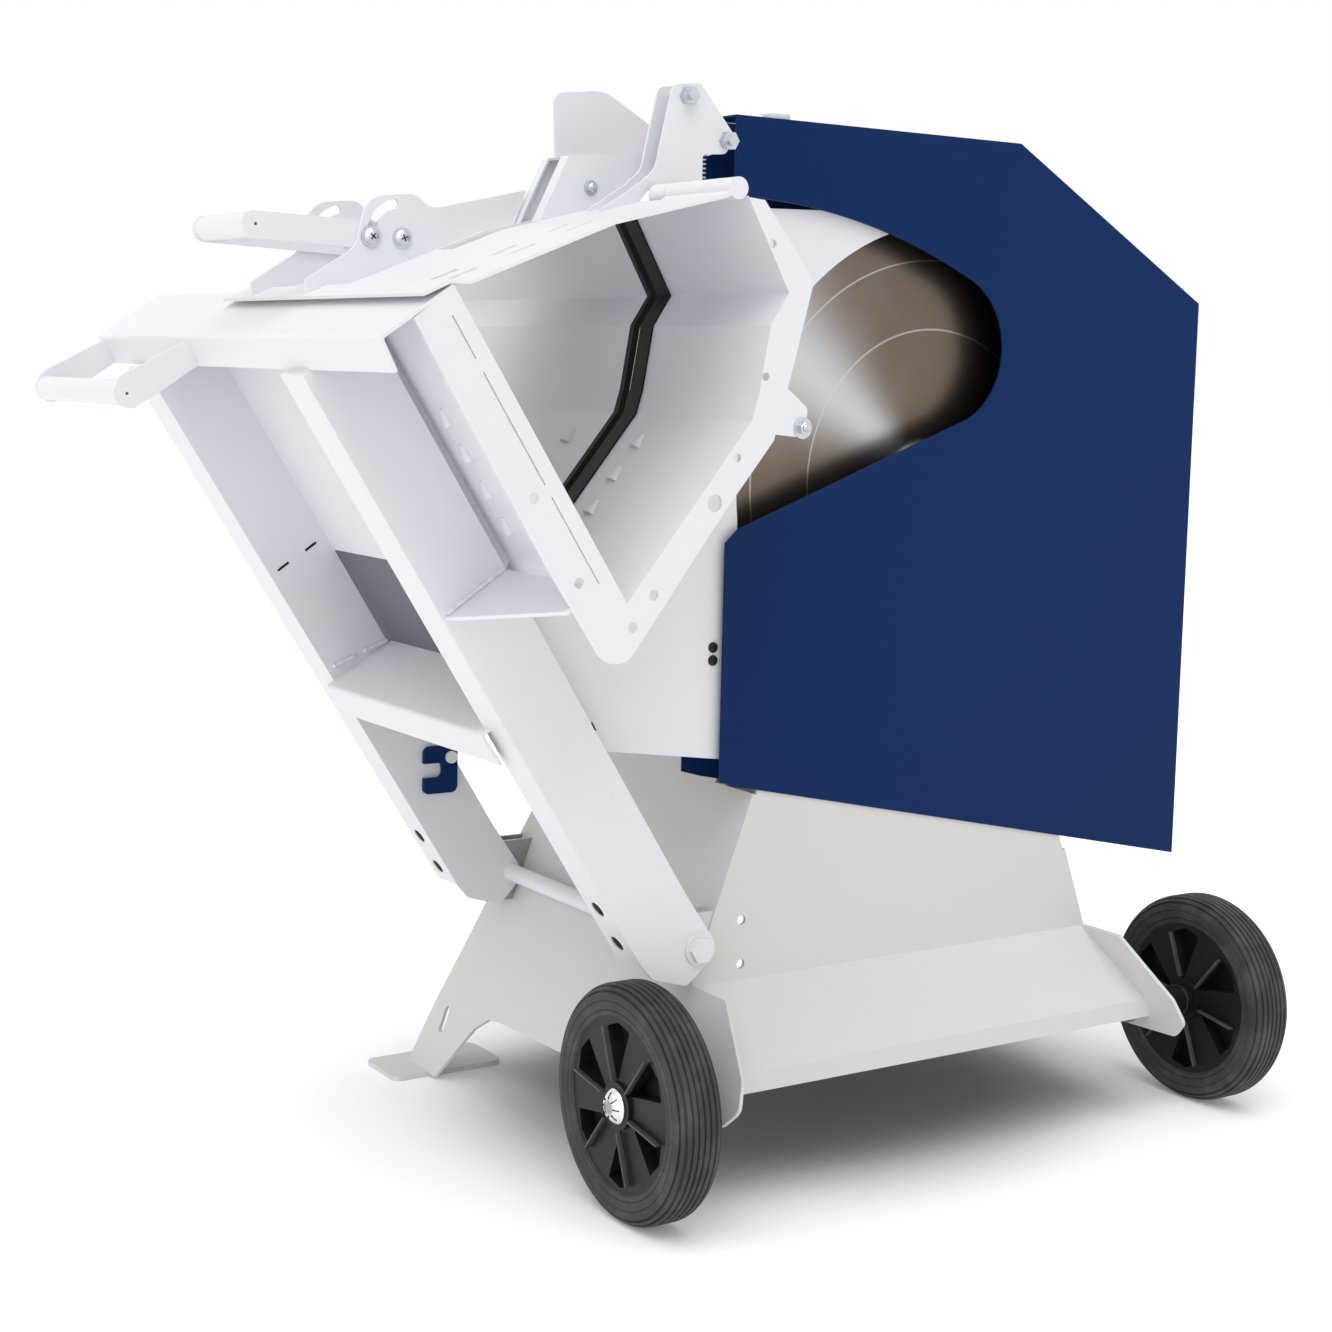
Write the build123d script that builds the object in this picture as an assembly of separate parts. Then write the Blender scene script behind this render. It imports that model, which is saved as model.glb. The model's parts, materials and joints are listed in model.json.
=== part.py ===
from build123d import *
import math
import os

# Tilting firewood saw. Millimetres, +Z up, floor at 0, X to the saw side, Y away from the operator's right hand.
# Points below are (x, z) or (x, y, z) measured from the blade's centre in X and Y and from the floor in Z.

# Place of the blade's centre in the shared frame, which has its origin under the middle of the machine
BLADE_X = 221.43
BLADE_Y = -128.5

# Blade and spindle
SPINDLE_H = 721.5
BLADE_R = 325.0
BLADE_T = 3.2
SPINDLE_R = 17.5
FLANGE_R = 46.0
FLANGE_T = 8.0
NUT_END = -27.0
SPINDLE_END = 208.0

# Sheet thicknesses and clearances
SHEET = 3.0
LEG_T = 4.0
BASE_T = 4.0
GUARD_T = 2.0
FOOT_T = 6.0
FOLD_R = 2.0
RUN = 0.05
GAP = 0.4

# Depths along the spindle
FRONT_Y = -38.0
GUARD_BACK_Y = 32.0
SHIELD_Y0 = -31.5
SHIELD_Y1 = -29.5
SLOT_Y0 = -23.0
SLOT_Y1 = 7.5
TROUGH_Y0 = -220.0
TROUGH_Y1 = 456.0
LID_Y1 = 206.5
LEG_NEAR_Y = -55.0
LEG_FAR_Y = 338.0
LEG_FLANGE = 50.0

# Rocker, which stands on its pivot with the bottom of its V trough at TROUGH_H
PIVOT_X = -322.63
TROUGH_H = 631.3
LEG_RUN = 0.6303
LEG_W = 94.3
PIVOT_H = 252.8
PIVOT_R = 10.0
RUNG_DROP = 99.5
HOOK_RISE = 143.2
LEG_EDGE = 19.3
TROUGH_EDGE = 18.6
PIN_R = 5.0
KNUCKLE_R = 10.0
GRIP_R = 12.5

# Base
BASE_CX = -46.5
BASE_HALF = 274.2
LEAN = 0.37
TRAY_H = 208.3
LIP_Y = -120.0
LIP_H = 137.0
LIP_DROP = 21.0
DECK_H = 400.0
UPSTAND = 45.0
DECK_BACK_Y = 341.0
REAR_Y = 409.0
REAR_H = 167.0

# Wheels
WHEEL_R = 120.0
WHEEL_W = 51.0
RIM_R = 87.0
BOSS_R = 24.0
AXLE_R = 10.0
AXLE_Y = -97.0
WHEEL_LEFT_X = -420.0
WHEEL_RIGHT_X = 360.0

# Drive
PULLEY_Y0 = 165.0
PULLEY_Y1 = 205.0
PULLEY_R = 62.0
MOTOR_PULLEY_R = 45.0
MOTOR_DROP = 115.0
MOTOR_R = 85.0
MOTOR_Y0 = 50.0
MOTOR_Y1 = 150.0
SHAFT_R = 14.0
GROOVE = 9.0
BELT_T = 8.0
BELT_W = 10.0
BELT_YS = (177.0, 193.0)

TROUGH_X = PIVOT_X + LEG_EDGE + TROUGH_EDGE - LEG_RUN * (TROUGH_H - PIVOT_H)
RUNG_H = TROUGH_H - RUNG_DROP
HOOK_H = PIVOT_H + HOOK_RISE
MOTOR_H = DECK_H - MOTOR_DROP

os.makedirs("parts", exist_ok=True)


def outline(points, y):
    """Face at depth y; a third number on a point rounds that corner."""
    corners = []
    count = len(points)
    for i, point in enumerate(points):
        here = Vector(point[0], y, point[1])
        if len(point) < 3:
            corners.append((here, None, here))
            continue
        before = Vector(points[i - 1][0], y, points[i - 1][1])
        after = Vector(points[(i + 1) % count][0], y, points[(i + 1) % count][1])
        u = (before - here).normalized()
        v = (after - here).normalized()
        half = math.acos(max(-1.0, min(1.0, u.dot(v)))) / 2
        reach = point[2] / math.tan(half)
        middle = here + (u + v).normalized() * (point[2] / math.sin(half) - point[2])
        corners.append((here + u * reach, middle, here + v * reach))
    edges = []
    for i, (start, middle, end) in enumerate(corners):
        if middle is not None:
            edges.append(Edge.make_three_point_arc(start, middle, end))
        following = corners[(i + 1) % count][0]
        if (following - end).length > 1e-6:
            edges.append(Edge.make_line(end, following))
    return Face(Wire(edges))


def prism(points, y0, y1):
    """Plate parallel to the blade between two depths."""
    return Solid.extrude(outline(points, y0), Vector(0, y1 - y0, 0))


def offset_line(points, distance):
    """Folded line moved to the left of its travel, mitred at the folds."""
    normals = []
    for a, b in zip(points, points[1:]):
        length = math.hypot(b[0] - a[0], b[1] - a[1])
        normals.append((-(b[1] - a[1]) / length, (b[0] - a[0]) / length))
    moved = []
    for i, point in enumerate(points):
        first = normals[max(i - 1, 0)]
        second = normals[min(i, len(normals) - 1)]
        scale = distance / (1 + first[0] * second[0] + first[1] * second[1])
        moved.append((point[0] + scale * (first[0] + second[0]), point[1] + scale * (first[1] + second[1])))
    return moved


def strip(points, thickness, y0, y1):
    """Folded sheet running along the spindle direction, with rounded folds."""
    sides = [list(points), offset_line(points, thickness)]
    for i in range(1, len(points) - 1):
        (ax, az), (bx, bz), (cx, cz) = (p[:2] for p in points[i - 1 : i + 2])
        left_turn = (bx - ax) * (cz - bz) - (bz - az) * (cx - bx) > 0
        offset_inside = left_turn == (thickness > 0)
        radii = (FOLD_R + abs(thickness), FOLD_R) if offset_inside else (FOLD_R, FOLD_R + abs(thickness))
        for side, radius in zip(sides, radii):
            side[i] = (*side[i][:2], radius)
    return prism(sides[0] + sides[1][::-1], y0, y1)


def prism_x(points, x0, x1):
    """Profile of (y, z) points carried along X."""
    wire = Wire.make_polygon([Vector(x0, y, z) for y, z in points], close=True)
    return Solid.extrude(Face(wire), Vector(x1 - x0, 0, 0))


def strip_x(points, thickness, x0, x1):
    """Folded sheet running along X."""
    return prism_x(list(points) + offset_line(points, thickness)[::-1], x0, x1)


def rod_y(x, z, radius, y0, y1):
    """Round bar along the spindle direction."""
    return Solid.make_cylinder(radius, y1 - y0, Plane((x, y0, z), z_dir=(0, 1, 0)))


def rod_x(y, z, radius, x0, x1):
    """Round bar along X."""
    return Solid.make_cylinder(radius, x1 - x0, Plane((x0, y, z), z_dir=(1, 0, 0)))


def block(x0, x1, y0, y1, z0, z1):
    """Box from corner to corner."""
    return Solid.make_box(x1 - x0, y1 - y0, z1 - z0, Plane((x0, y0, z0)))


def hexagon_y(x, z, across, y0, y1):
    """Six-sided nut along the spindle direction."""
    reach = across / math.sqrt(3)
    points = []
    for i in range(6):
        angle = math.radians(60 * i)
        points.append((x + reach * math.cos(angle), z + reach * math.sin(angle)))
    return prism(points, y0, y1)


def along(a, b, share):
    """Point between two (x, z) points."""
    return (a[0] + (b[0] - a[0]) * share, a[1] + (b[1] - a[1]) * share)


def save(node, shape):
    """Write one piece, moved to the shared frame."""
    solids = shape.solids()
    if len(solids) != 1:
        raise ValueError(f"{node} has {len(solids)} solids")
    solid = Pos(BLADE_X, BLADE_Y, 0) * solids[0]
    solid.label = node
    export_step(solid, f"parts/{node}.step")


def cradle(dx, dz, *radius):
    """Point of the rocker, measured from the bottom of its V trough."""
    return (TROUGH_X + dx, TROUGH_H + dz, *radius)


HINGE_X, HINGE_H = cradle(111.7, 367.9)


def hinged(dx, dz, *radius):
    """Point of the lid, measured from its hinge."""
    return (HINGE_X + dx, HINGE_H + dz, *radius)


def leg_right(z):
    """Saw-side edge of the legs."""
    return PIVOT_X + LEG_EDGE - LEG_RUN * (z - PIVOT_H)


def leg_left(z):
    """Operator-side edge of the legs."""
    return leg_right(z) - LEG_W


# Side plates of the base lean inwards and reach forward beside the wheels
GUARD_TOP = SPINDLE_H + BLADE_R + 40.2
GUARD_RIGHT = BLADE_R + 38.4
GUARD_LEFT = -292.2
GUARD_CORNER = (GUARD_RIGHT, SPINDLE_H - BLADE_R - 116.1)
GUARD_HEEL = (GUARD_LEFT + 23.7, SPINDLE_H - 308.3)


def guard_floor(x):
    """Height of the guard's sloping bottom edge."""
    slope = (GUARD_CORNER[1] - GUARD_HEEL[1]) / (GUARD_CORNER[0] - GUARD_HEEL[0])
    return GUARD_HEEL[1] + slope * (x - GUARD_HEEL[0])


def side_x(z):
    """Outer face of the left side plate."""
    return BASE_CX - BASE_HALF + (z - TRAY_H) * LEAN


INWARD = Vector(1, 0, -LEAN).normalized()
WING_TOP = TRAY_H + 1.7
NOSE = [(AXLE_Y - 68, WHEEL_R + 28), (AXLE_Y - 78, WHEEL_R + 1), (AXLE_Y - 59, WHEEL_R - 18.5)]


def side_plate(front_top, rear_top):
    """Left side plate with its front nose rounded, and the heights of its front and rear parts."""
    rise = (rear_top - REAR_H) / (DECK_H - REAR_H)
    points = [(GUARD_BACK_Y, rear_top), along((REAR_Y, REAR_H), (DECK_BACK_Y, DECK_H), rise)]
    points += [(REAR_Y, REAR_H), (REAR_Y + 28, 80.0)]
    points += [(REAR_Y + 46, FOOT_T - 2), (REAR_Y - 24, FOOT_T - 2), (REAR_Y - 74, 72.0), (REAR_Y - 98, 88.0)]
    points += [(REAR_Y - 120, 91.0), (AXLE_Y + 34, WHEEL_R - 23)]
    points += NOSE[::-1]
    points += [(AXLE_Y - 3, WING_TOP), (FRONT_Y, WING_TOP), (FRONT_Y, front_top), (GUARD_BACK_Y, front_top)]
    face = Face(Wire.make_polygon([Vector(side_x(z), y, z) for y, z in points], close=True))
    rounded = [v for v in face.vertices() if any(abs(v.Y - y) < 1e-3 and abs(v.Z - z) < 1e-3 for y, z in NOSE)]
    plate = Solid.extrude(face.fillet_2d(12, rounded), INWARD * BASE_T)
    for z in (55.0, 76.0):
        plate -= rod_x(REAR_Y - 4.5, z, 5, -700, 0)
    return plate - block(-700, 0, REAR_Y - 9.5, REAR_Y + 0.5, 55, 76)


def mirrored(shape):
    """Same piece on the other side of the base."""
    return shape.mirror(Plane.YZ.offset(BASE_CX))


axle_hole = rod_x(AXLE_Y, WHEEL_R, AXLE_R, -700, 700)
foot_x = side_x(FOOT_T - 2)
foot = block(foot_x - 43.8, foot_x + 100.2, REAR_Y - 9, REAR_Y + 72, 0, FOOT_T)
foot = foot.fillet(12, foot.edges().filter_by(Axis.Z))
base_left = side_plate(GUARD_HEEL[1] - 9, DECK_H + UPSTAND) + foot
base_right = mirrored(side_plate(guard_floor(BASE_CX + BASE_HALF) - 7, DECK_H) + foot)
save("base_left", base_left - axle_hole)
save("base_right", base_right - axle_hole)

# Front panel with its steep skirt and turned-down lip, rear panel and deck, all between the side plates
big = [(-900.0, -900.0), (1200.0, -900.0), (1200.0, 1200.0), (-900.0, 1200.0)]
big_face = Face(Wire.make_polygon([Vector(side_x(z), y, z) + INWARD * BASE_T for y, z in big], close=True))
outside_left = Solid.extrude(big_face, INWARD * -1500)
outside_right = mirrored(outside_left)
plate_side = Solid.extrude(big_face, INWARD * 900).moved(Location(INWARD * -BASE_T))
SPAN_X0, SPAN_X1 = BASE_CX - BASE_HALF - 20, BASE_CX + BASE_HALF + 20
panel = prism(
    [
        (SPAN_X0, TRAY_H - BASE_T),
        (SPAN_X1, TRAY_H - BASE_T),
        (SPAN_X1, guard_floor(SPAN_X1)),
        (SPAN_X0, guard_floor(SPAN_X0)),
    ],
    FRONT_Y,
    FRONT_Y + BASE_T,
)
skirt_line = [(FRONT_Y, TRAY_H), (LIP_Y, LIP_H), (LIP_Y, LIP_H - LIP_DROP)]
skirt = strip_x(skirt_line, BASE_T, SPAN_X0 - 60, SPAN_X1 + 60)
base_front = panel + skirt - outside_left - outside_right
for z in (TRAY_H + 16.5, TRAY_H + 63.4):
    base_front -= rod_y(BASE_CX - 212, z, 5, FRONT_Y - 20, FRONT_Y + 20)
save("base_front", base_front)

rear = strip_x([(DECK_BACK_Y, DECK_H), (REAR_Y, REAR_H)], -BASE_T, SPAN_X0 - 100, SPAN_X1 + 100)
save("base_rear", rear - outside_left - outside_right)

BELT_HALF = PULLEY_R + 14
deck = block(SPAN_X0, SPAN_X1, GUARD_BACK_Y, DECK_BACK_Y - BASE_T - 0.2, DECK_H - BASE_T, DECK_H)
deck -= block(-BELT_HALF, BELT_HALF, PULLEY_Y0 - 8, PULLEY_Y1 + 8, DECK_H - 20, DECK_H + 20)
save("deck", deck - outside_left - outside_right)

# Wheels on stub axles that are bolted through the side plates
for side, x, outward in (("left", WHEEL_LEFT_X, -1), ("right", WHEEL_RIGHT_X, 1)):
    half = WHEEL_W / 2
    tyre = rod_x(AXLE_Y, WHEEL_R, WHEEL_R, x - half, x + half)
    tyre = tyre.fillet(14, tyre.edges())
    tyre -= rod_x(AXLE_Y, WHEEL_R, RIM_R, x - 100, x + 100)
    for shift in (-15.0, -5.0, 5.0, 15.0):
        ring = rod_x(AXLE_Y, WHEEL_R, WHEEL_R + 5, x + shift - 1.2, x + shift + 1.2)
        tyre -= ring - rod_x(AXLE_Y, WHEEL_R, WHEEL_R - 2.5, x - 100, x + 100)
    save(f"tyre_{side}", tyre)

    hub = rod_x(AXLE_Y, WHEEL_R, RIM_R, x - half + 4, x + half - 4)
    for i in range(6):
        corners = []
        for radius, turn in ((BOSS_R, 8), (RIM_R - 8, -12), (RIM_R - 4, 3), (RIM_R - 8, 18), (BOSS_R, 12)):
            angle = math.radians(60 * i + turn)
            corners.append((AXLE_Y + radius * math.sin(angle), WHEEL_R + radius * math.cos(angle)))
        for face_x, inward in ((x - half, 1), (x + half, -1)):
            hub -= prism_x(corners, face_x, face_x + inward * 20)
    hub += rod_x(AXLE_Y, WHEEL_R, BOSS_R, x - half, x + half)
    hub -= rod_x(AXLE_Y, WHEEL_R, AXLE_R + RUN, x - 100, x + 100)
    save(f"hub_{side}", hub)

    def reach_x(distance):
        """X at a distance outwards from the wheel's middle."""
        return x + outward * distance

    def bar(radius, start, end):
        """Round bar of the axle between two distances from the wheel's middle."""
        return rod_x(AXLE_Y, WHEEL_R, radius, *sorted((reach_x(start), reach_x(end))))

    plate_out = side_x(WHEEL_R) if side == "left" else 2 * BASE_CX - side_x(WHEEL_R)
    plate_gap = outward * (plate_out - x)
    axle_end = half + 7
    axle = bar(AXLE_R, plate_gap - 24, axle_end) + bar(15, plate_gap + 7, -half - GAP)
    save(f"axle_{side}", axle + bar(15, plate_gap - 20, plate_gap - 12))
    cap = bar(18, half + GAP, axle_end + 3)
    save(f"cap_{side}", cap.fillet(2.5, cap.edges()) - bar(AXLE_R, 0, axle_end))

# Brackets that carry the rocker's pivot tube, folded channels on the left side plate
pivot_bore = rod_y(PIVOT_X, PIVOT_H, PIVOT_R + RUN, -400, 400)


def pivot_bracket(y0, y1, low, high):
    """Channel with two cheeks joined by a web along their lower edge."""
    right = PIVOT_X + 80
    cheek = [(PIVOT_X - 24, PIVOT_H - low, 6), (PIVOT_X - 24, PIVOT_H + high - 14, 5)]
    cheek += [(PIVOT_X - 12, PIVOT_H + high, 5), (right, PIVOT_H + high), (right, PIVOT_H - low)]
    bracket = prism(cheek, y0, y0 + BASE_T) + prism(cheek, y1 - BASE_T, y1)
    bracket += block(PIVOT_X - 10, right, y0, y1, PIVOT_H - low, PIVOT_H - low + BASE_T)
    return bracket - pivot_bore - plate_side


save("pivot_bracket_near", pivot_bracket(FRONT_Y + 2, FRONT_Y + 28, 31, 32))
save("pivot_bracket_far", pivot_bracket(LEG_FAR_Y + LEG_T + 2, LEG_FAR_Y + LEG_T + 30, 34, 36))

# Blade guard: two blue panels with a jaw for the trough, joined by a rim
JAW_LOW = (GUARD_LEFT + 15.2, SPINDLE_H - 42.7)
JAW_DEEP = (20.3, SPINDLE_H + 69.3)
GUARD_SLANT = [(79.7, GUARD_TOP - 1.8), (GUARD_RIGHT - 3, SPINDLE_H + 203.0)]


def guard_panel(y0, y1):
    """One panel of the guard."""
    corners = [(GUARD_LEFT, SPINDLE_H + 286.5), (GUARD_LEFT, GUARD_TOP), *GUARD_SLANT, GUARD_CORNER, GUARD_HEEL]
    corners += [(GUARD_LEFT, GUARD_HEEL[1] + 6.6), (GUARD_LEFT, JAW_LOW[1] - 14.2), JAW_LOW, JAW_DEEP]
    jaw = [(65.0, 142.3), (12.5, 219.1), (-107.0, 262.8), (-257.8, 286.0)]
    spots = [Vector(x, y0, z) for x, z in corners]
    bends = [Vector(x, y0, SPINDLE_H + rise) for x, rise in jaw]
    edges = [Edge.make_line(a, b) for a, b in zip(spots, spots[1:])]
    edges.append(Edge.make_three_point_arc(spots[-1], bends[0], bends[1]))
    edges.append(Edge.make_three_point_arc(bends[1], bends[2], bends[3]))
    edges.append(Edge.make_line(bends[3], spots[0]))
    return Solid.extrude(Face(Wire(edges)), Vector(0, y1 - y0, 0))


save("guard_front", guard_panel(FRONT_Y - GUARD_T, FRONT_Y))
guard_rear = guard_panel(GUARD_BACK_Y - GUARD_T, GUARD_BACK_Y) - rod_y(0, SPINDLE_H, 58, 0, 100)
rim_line = [(GUARD_LEFT, GUARD_TOP), *GUARD_SLANT, GUARD_CORNER, (-150.0, guard_floor(-150.0))]
guard_rim = prism(
    rim_line + offset_line(rim_line, -GUARD_T)[::-1],
    FRONT_Y,
    GUARD_BACK_Y - GUARD_T,
)
guard_rim -= block(GUARD_LEFT - 20, GUARD_LEFT + 190, 13, 60, GUARD_TOP - 20, GUARD_TOP + 20)
save("guard_rear", guard_rear + guard_rim)

# Spindle, clamp flanges, blade and pulley
HALF_T = BLADE_T / 2
spindle = rod_y(0, SPINDLE_H, SPINDLE_R, NUT_END, SPINDLE_END)
save("spindle", spindle + rod_y(0, SPINDLE_H, FLANGE_R, HALF_T, HALF_T + FLANGE_T + 2))
blade = rod_y(0, SPINDLE_H, BLADE_R, -HALF_T, HALF_T)
teeth = 36
for i in range(teeth):
    step = 360 / teeth
    a0 = math.radians(step * i)
    a1 = math.radians(step * (i + 0.8))
    root = BLADE_R - 14
    gullet = [
        ((BLADE_R + 4) * math.cos(a0), SPINDLE_H + (BLADE_R + 4) * math.sin(a0)),
        (root * math.cos(a0), SPINDLE_H + root * math.sin(a0)),
        ((BLADE_R + 4) * math.cos(a1), SPINDLE_H + (BLADE_R + 4) * math.sin(a1)),
    ]
    blade -= prism(gullet, -HALF_T - 1, HALF_T + 1)
save("blade", blade - spindle)
save("clamp_flange_front", rod_y(0, SPINDLE_H, FLANGE_R, -HALF_T - FLANGE_T, -HALF_T) - spindle)
save("arbor_nut", hexagon_y(0, SPINDLE_H, 46, NUT_END, -HALF_T - FLANGE_T) - spindle)


def pulley(z, radius, bore):
    """Two-groove belt pulley."""
    wheel = rod_y(0, z, radius, PULLEY_Y0, PULLEY_Y1)
    for y in BELT_YS:
        ring = rod_y(0, z, radius + 5, y - BELT_W / 2 - GAP, y + BELT_W / 2 + GAP)
        wheel -= ring - rod_y(0, z, radius - GROOVE, PULLEY_Y0 - 5, PULLEY_Y1 + 5)
    return wheel - rod_y(0, z, bore, PULLEY_Y0 - 5, PULLEY_Y1 + 5)


save("spindle_pulley", pulley(SPINDLE_H, PULLEY_R, SPINDLE_R))
motor_shaft = rod_y(0, MOTOR_H, SHAFT_R, MOTOR_Y1 - 18, PULLEY_Y1 + 4)
save("motor_pulley", pulley(MOTOR_H, MOTOR_PULLEY_R, SHAFT_R - 1) + motor_shaft)


def belt_face(r_top, r_bottom, y):
    """Loop around both pulleys, filled."""
    span = SPINDLE_H - MOTOR_H
    tilt = math.asin((r_top - r_bottom) / span)
    c, s = math.cos(tilt), math.sin(tilt)
    top_l = Vector(-r_top * c, y, SPINDLE_H - r_top * s)
    top_r = Vector(r_top * c, y, SPINDLE_H - r_top * s)
    low_l = Vector(-r_bottom * c, y, MOTOR_H - r_bottom * s)
    low_r = Vector(r_bottom * c, y, MOTOR_H - r_bottom * s)
    edges = [
        Edge.make_line(low_l, top_l),
        Edge.make_three_point_arc(top_l, Vector(0, y, SPINDLE_H + r_top), top_r),
        Edge.make_line(top_r, low_r),
        Edge.make_three_point_arc(low_r, Vector(0, y, MOTOR_H - r_bottom), low_l),
    ]
    return Face(Wire(edges))


for name, y in zip(("belt_front", "belt_back"), BELT_YS):
    reach = Vector(0, BELT_W, 0)
    inner_top = PULLEY_R - GROOVE + GAP
    inner_low = MOTOR_PULLEY_R - GROOVE + GAP
    loop = Solid.extrude(belt_face(inner_top + BELT_T, inner_low + BELT_T, y - BELT_W / 2), reach)
    loop -= Solid.extrude(belt_face(inner_top, inner_low, y - BELT_W / 2), reach)
    save(name, loop)

housing = rod_y(0, SPINDLE_H, 52, 44, 150)
housing += block(-58, 58, 50, 62, DECK_H + 10, SPINDLE_H)
housing += block(-58, 58, 132, 144, DECK_H + 10, SPINDLE_H)
housing += block(-10, 10, 60, 134, DECK_H + 10, SPINDLE_H)
housing += block(-80, 80, 40, 154, DECK_H, DECK_H + 10)
housing -= rod_y(0, SPINDLE_H, SPINDLE_R + RUN, 0, 200)
housing -= block(-120, 120, 30, 170, SPINDLE_H + 60, SPINDLE_H + 200)
save("bearing_stand", housing)

motor = rod_y(0, MOTOR_H, MOTOR_R, MOTOR_Y0, MOTOR_Y1)
motor = motor.fillet(8, motor.edges().filter_by(GeomType.CIRCLE))
motor += block(MOTOR_R - 12, MOTOR_R + 28, MOTOR_Y0 + 20, MOTOR_Y1 - 25, MOTOR_H - 35, MOTOR_H + 35)
motor -= rod_y(0, MOTOR_H, SHAFT_R + RUN, MOTOR_Y1 - 20, MOTOR_Y1 + 5)
motor += block(-55, 55, MOTOR_Y0 + 15, MOTOR_Y1 - 25, MOTOR_H + 55, DECK_H - BASE_T)
save("motor", motor)

COVER_R = PULLEY_R + 18
COVER_Y0, COVER_Y1 = PULLEY_Y0 - 7, PULLEY_Y1 + 7
cover_top = outline([(-COVER_R, DECK_H), (-COVER_R, SPINDLE_H), (COVER_R, SPINDLE_H), (COVER_R, DECK_H)], COVER_Y0)
cover = Solid.extrude(cover_top, Vector(0, COVER_Y1 - COVER_Y0, 0)) + rod_y(0, SPINDLE_H, COVER_R, COVER_Y0, COVER_Y1)
space = block(-COVER_R + 2, COVER_R - 2, COVER_Y0 - 5, COVER_Y1 - 2, DECK_H - 5, SPINDLE_H)
cover = cover - space - rod_y(0, SPINDLE_H, COVER_R - 2, COVER_Y0 - 5, COVER_Y1 - 2)
save("belt_cover", cover)

# Switch box with its two push buttons and the plug inlet
BOX_X0, BOX_X1, BOX_Y0, BOX_Y1 = 110.0, 190.0, 120.0, 200.0
BOX_TOP = DECK_H + 110.0
BUTTON_R = 10.0
BUTTON_Z = DECK_H + 72.0
switch_box = block(BOX_X0, BOX_X1, BOX_Y0, BOX_Y1, DECK_H, BOX_TOP)
switch_box = switch_box.fillet(6, switch_box.edges().filter_by(Axis.Z))
for x in (BOX_X0 + 24, BOX_X1 - 24):
    switch_box -= rod_y(x, BUTTON_Z, BUTTON_R + RUN, BOX_Y1 - 16, BOX_Y1 + 5)
save("switch_box", switch_box)
for name, x in (("start_button", BOX_X0 + 24), ("stop_button", BOX_X1 - 24)):
    button = rod_y(x, BUTTON_Z, BUTTON_R, BOX_Y1 - 10, BOX_Y1 + 6)
    save(name, button.fillet(1.5, button.edges().sort_by(Axis.Y)[-1:]))
inlet = rod_x((BOX_Y0 + BOX_Y1) / 2, DECK_H + 45, 26, BOX_X1, BOX_X1 + 45)
inlet -= rod_x((BOX_Y0 + BOX_Y1) / 2, DECK_H + 45, 22, BOX_X1 + 12, BOX_X1 + 60)
inlet += block(BOX_X1, BOX_X1 + 5, BOX_Y0 + 8, BOX_Y1 - 8, DECK_H + 13, DECK_H + 77)
save("power_inlet", inlet)

# Trough in two halves with the apron on its edge, slot edging and end plates
TROUGH = [
    cradle(-174.4, 271.1),
    cradle(0.0, 0.0),
    cradle(129.7, 161.7),
    cradle(136.7, 185.1),
    cradle(147.6, 247.6),
    cradle(167.2, 277.3),
    cradle(119.5, 360.1),
]
trough_out = offset_line(TROUGH, -SHEET)
trough_whole = strip(TROUGH, -SHEET, TROUGH_Y0, TROUGH_Y1)
save("trough_near", strip(TROUGH, -SHEET, TROUGH_Y0, SLOT_Y0))
save("trough_far", strip(TROUGH, -SHEET, SLOT_Y1, TROUGH_Y1))
APRON = [cradle(-176.2, 272.2), cradle(-242.7, 227.4), cradle(-228.2, 198.7)]
apron_in = offset_line(APRON, SHEET)
apron = strip(APRON, SHEET, TROUGH_Y0 - LEG_T, TROUGH_Y1 + LEG_T) - trough_whole
save("apron", apron)
EDGE_LIP = 2.0
BLADE_ROOM = 5.0
edging = offset_line(TROUGH, EDGE_LIP) + offset_line(TROUGH, -SHEET - EDGE_LIP)[::-1]
for name, y0, y1, half in (
    ("edging_near", SLOT_Y0 - 5, -BLADE_ROOM - HALF_T, (TROUGH_Y0, SLOT_Y0)),
    ("edging_far", BLADE_ROOM, SLOT_Y1 + 5, (SLOT_Y1, TROUGH_Y1)),
):
    save(name, prism(edging, y0, y1) - strip(TROUGH, -SHEET, *half) - apron)

END_EDGE = [
    cradle(137.5, 358.5),
    cradle(191.3, 293.7),
    cradle(193.7, 284.3),
    cradle(175.7, 216.4),
    cradle(154.6, 143.7),
    cradle(98.4, 75.0),
    cradle(15.7, -34.4),
    cradle(-9.9, -71.1, 23),
    cradle(-79.7, 32.0),
    cradle(-211.7, 243.7),
]
HOLES = [(147.6, 320.3, 4), (143.8, 201.6, 4), (114.8, 128.1, 4), (91.1, 87.5, 8), (28.1, 6.7, 5)]
HOLES += [(6.3, -21.3, 5), (-96.2, 94.6, 5), (-49.7, 20.0, 5)]
NUT_TAB = [cradle(162.8, 195.5), cradle(192.1, 173.4, 8), cradle(189.0, 146.2, 10), cradle(149.5, 150.0)]
SEAM_IN = 14.0
seam_line = offset_line(TROUGH[:2], -SEAM_IN)
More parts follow.
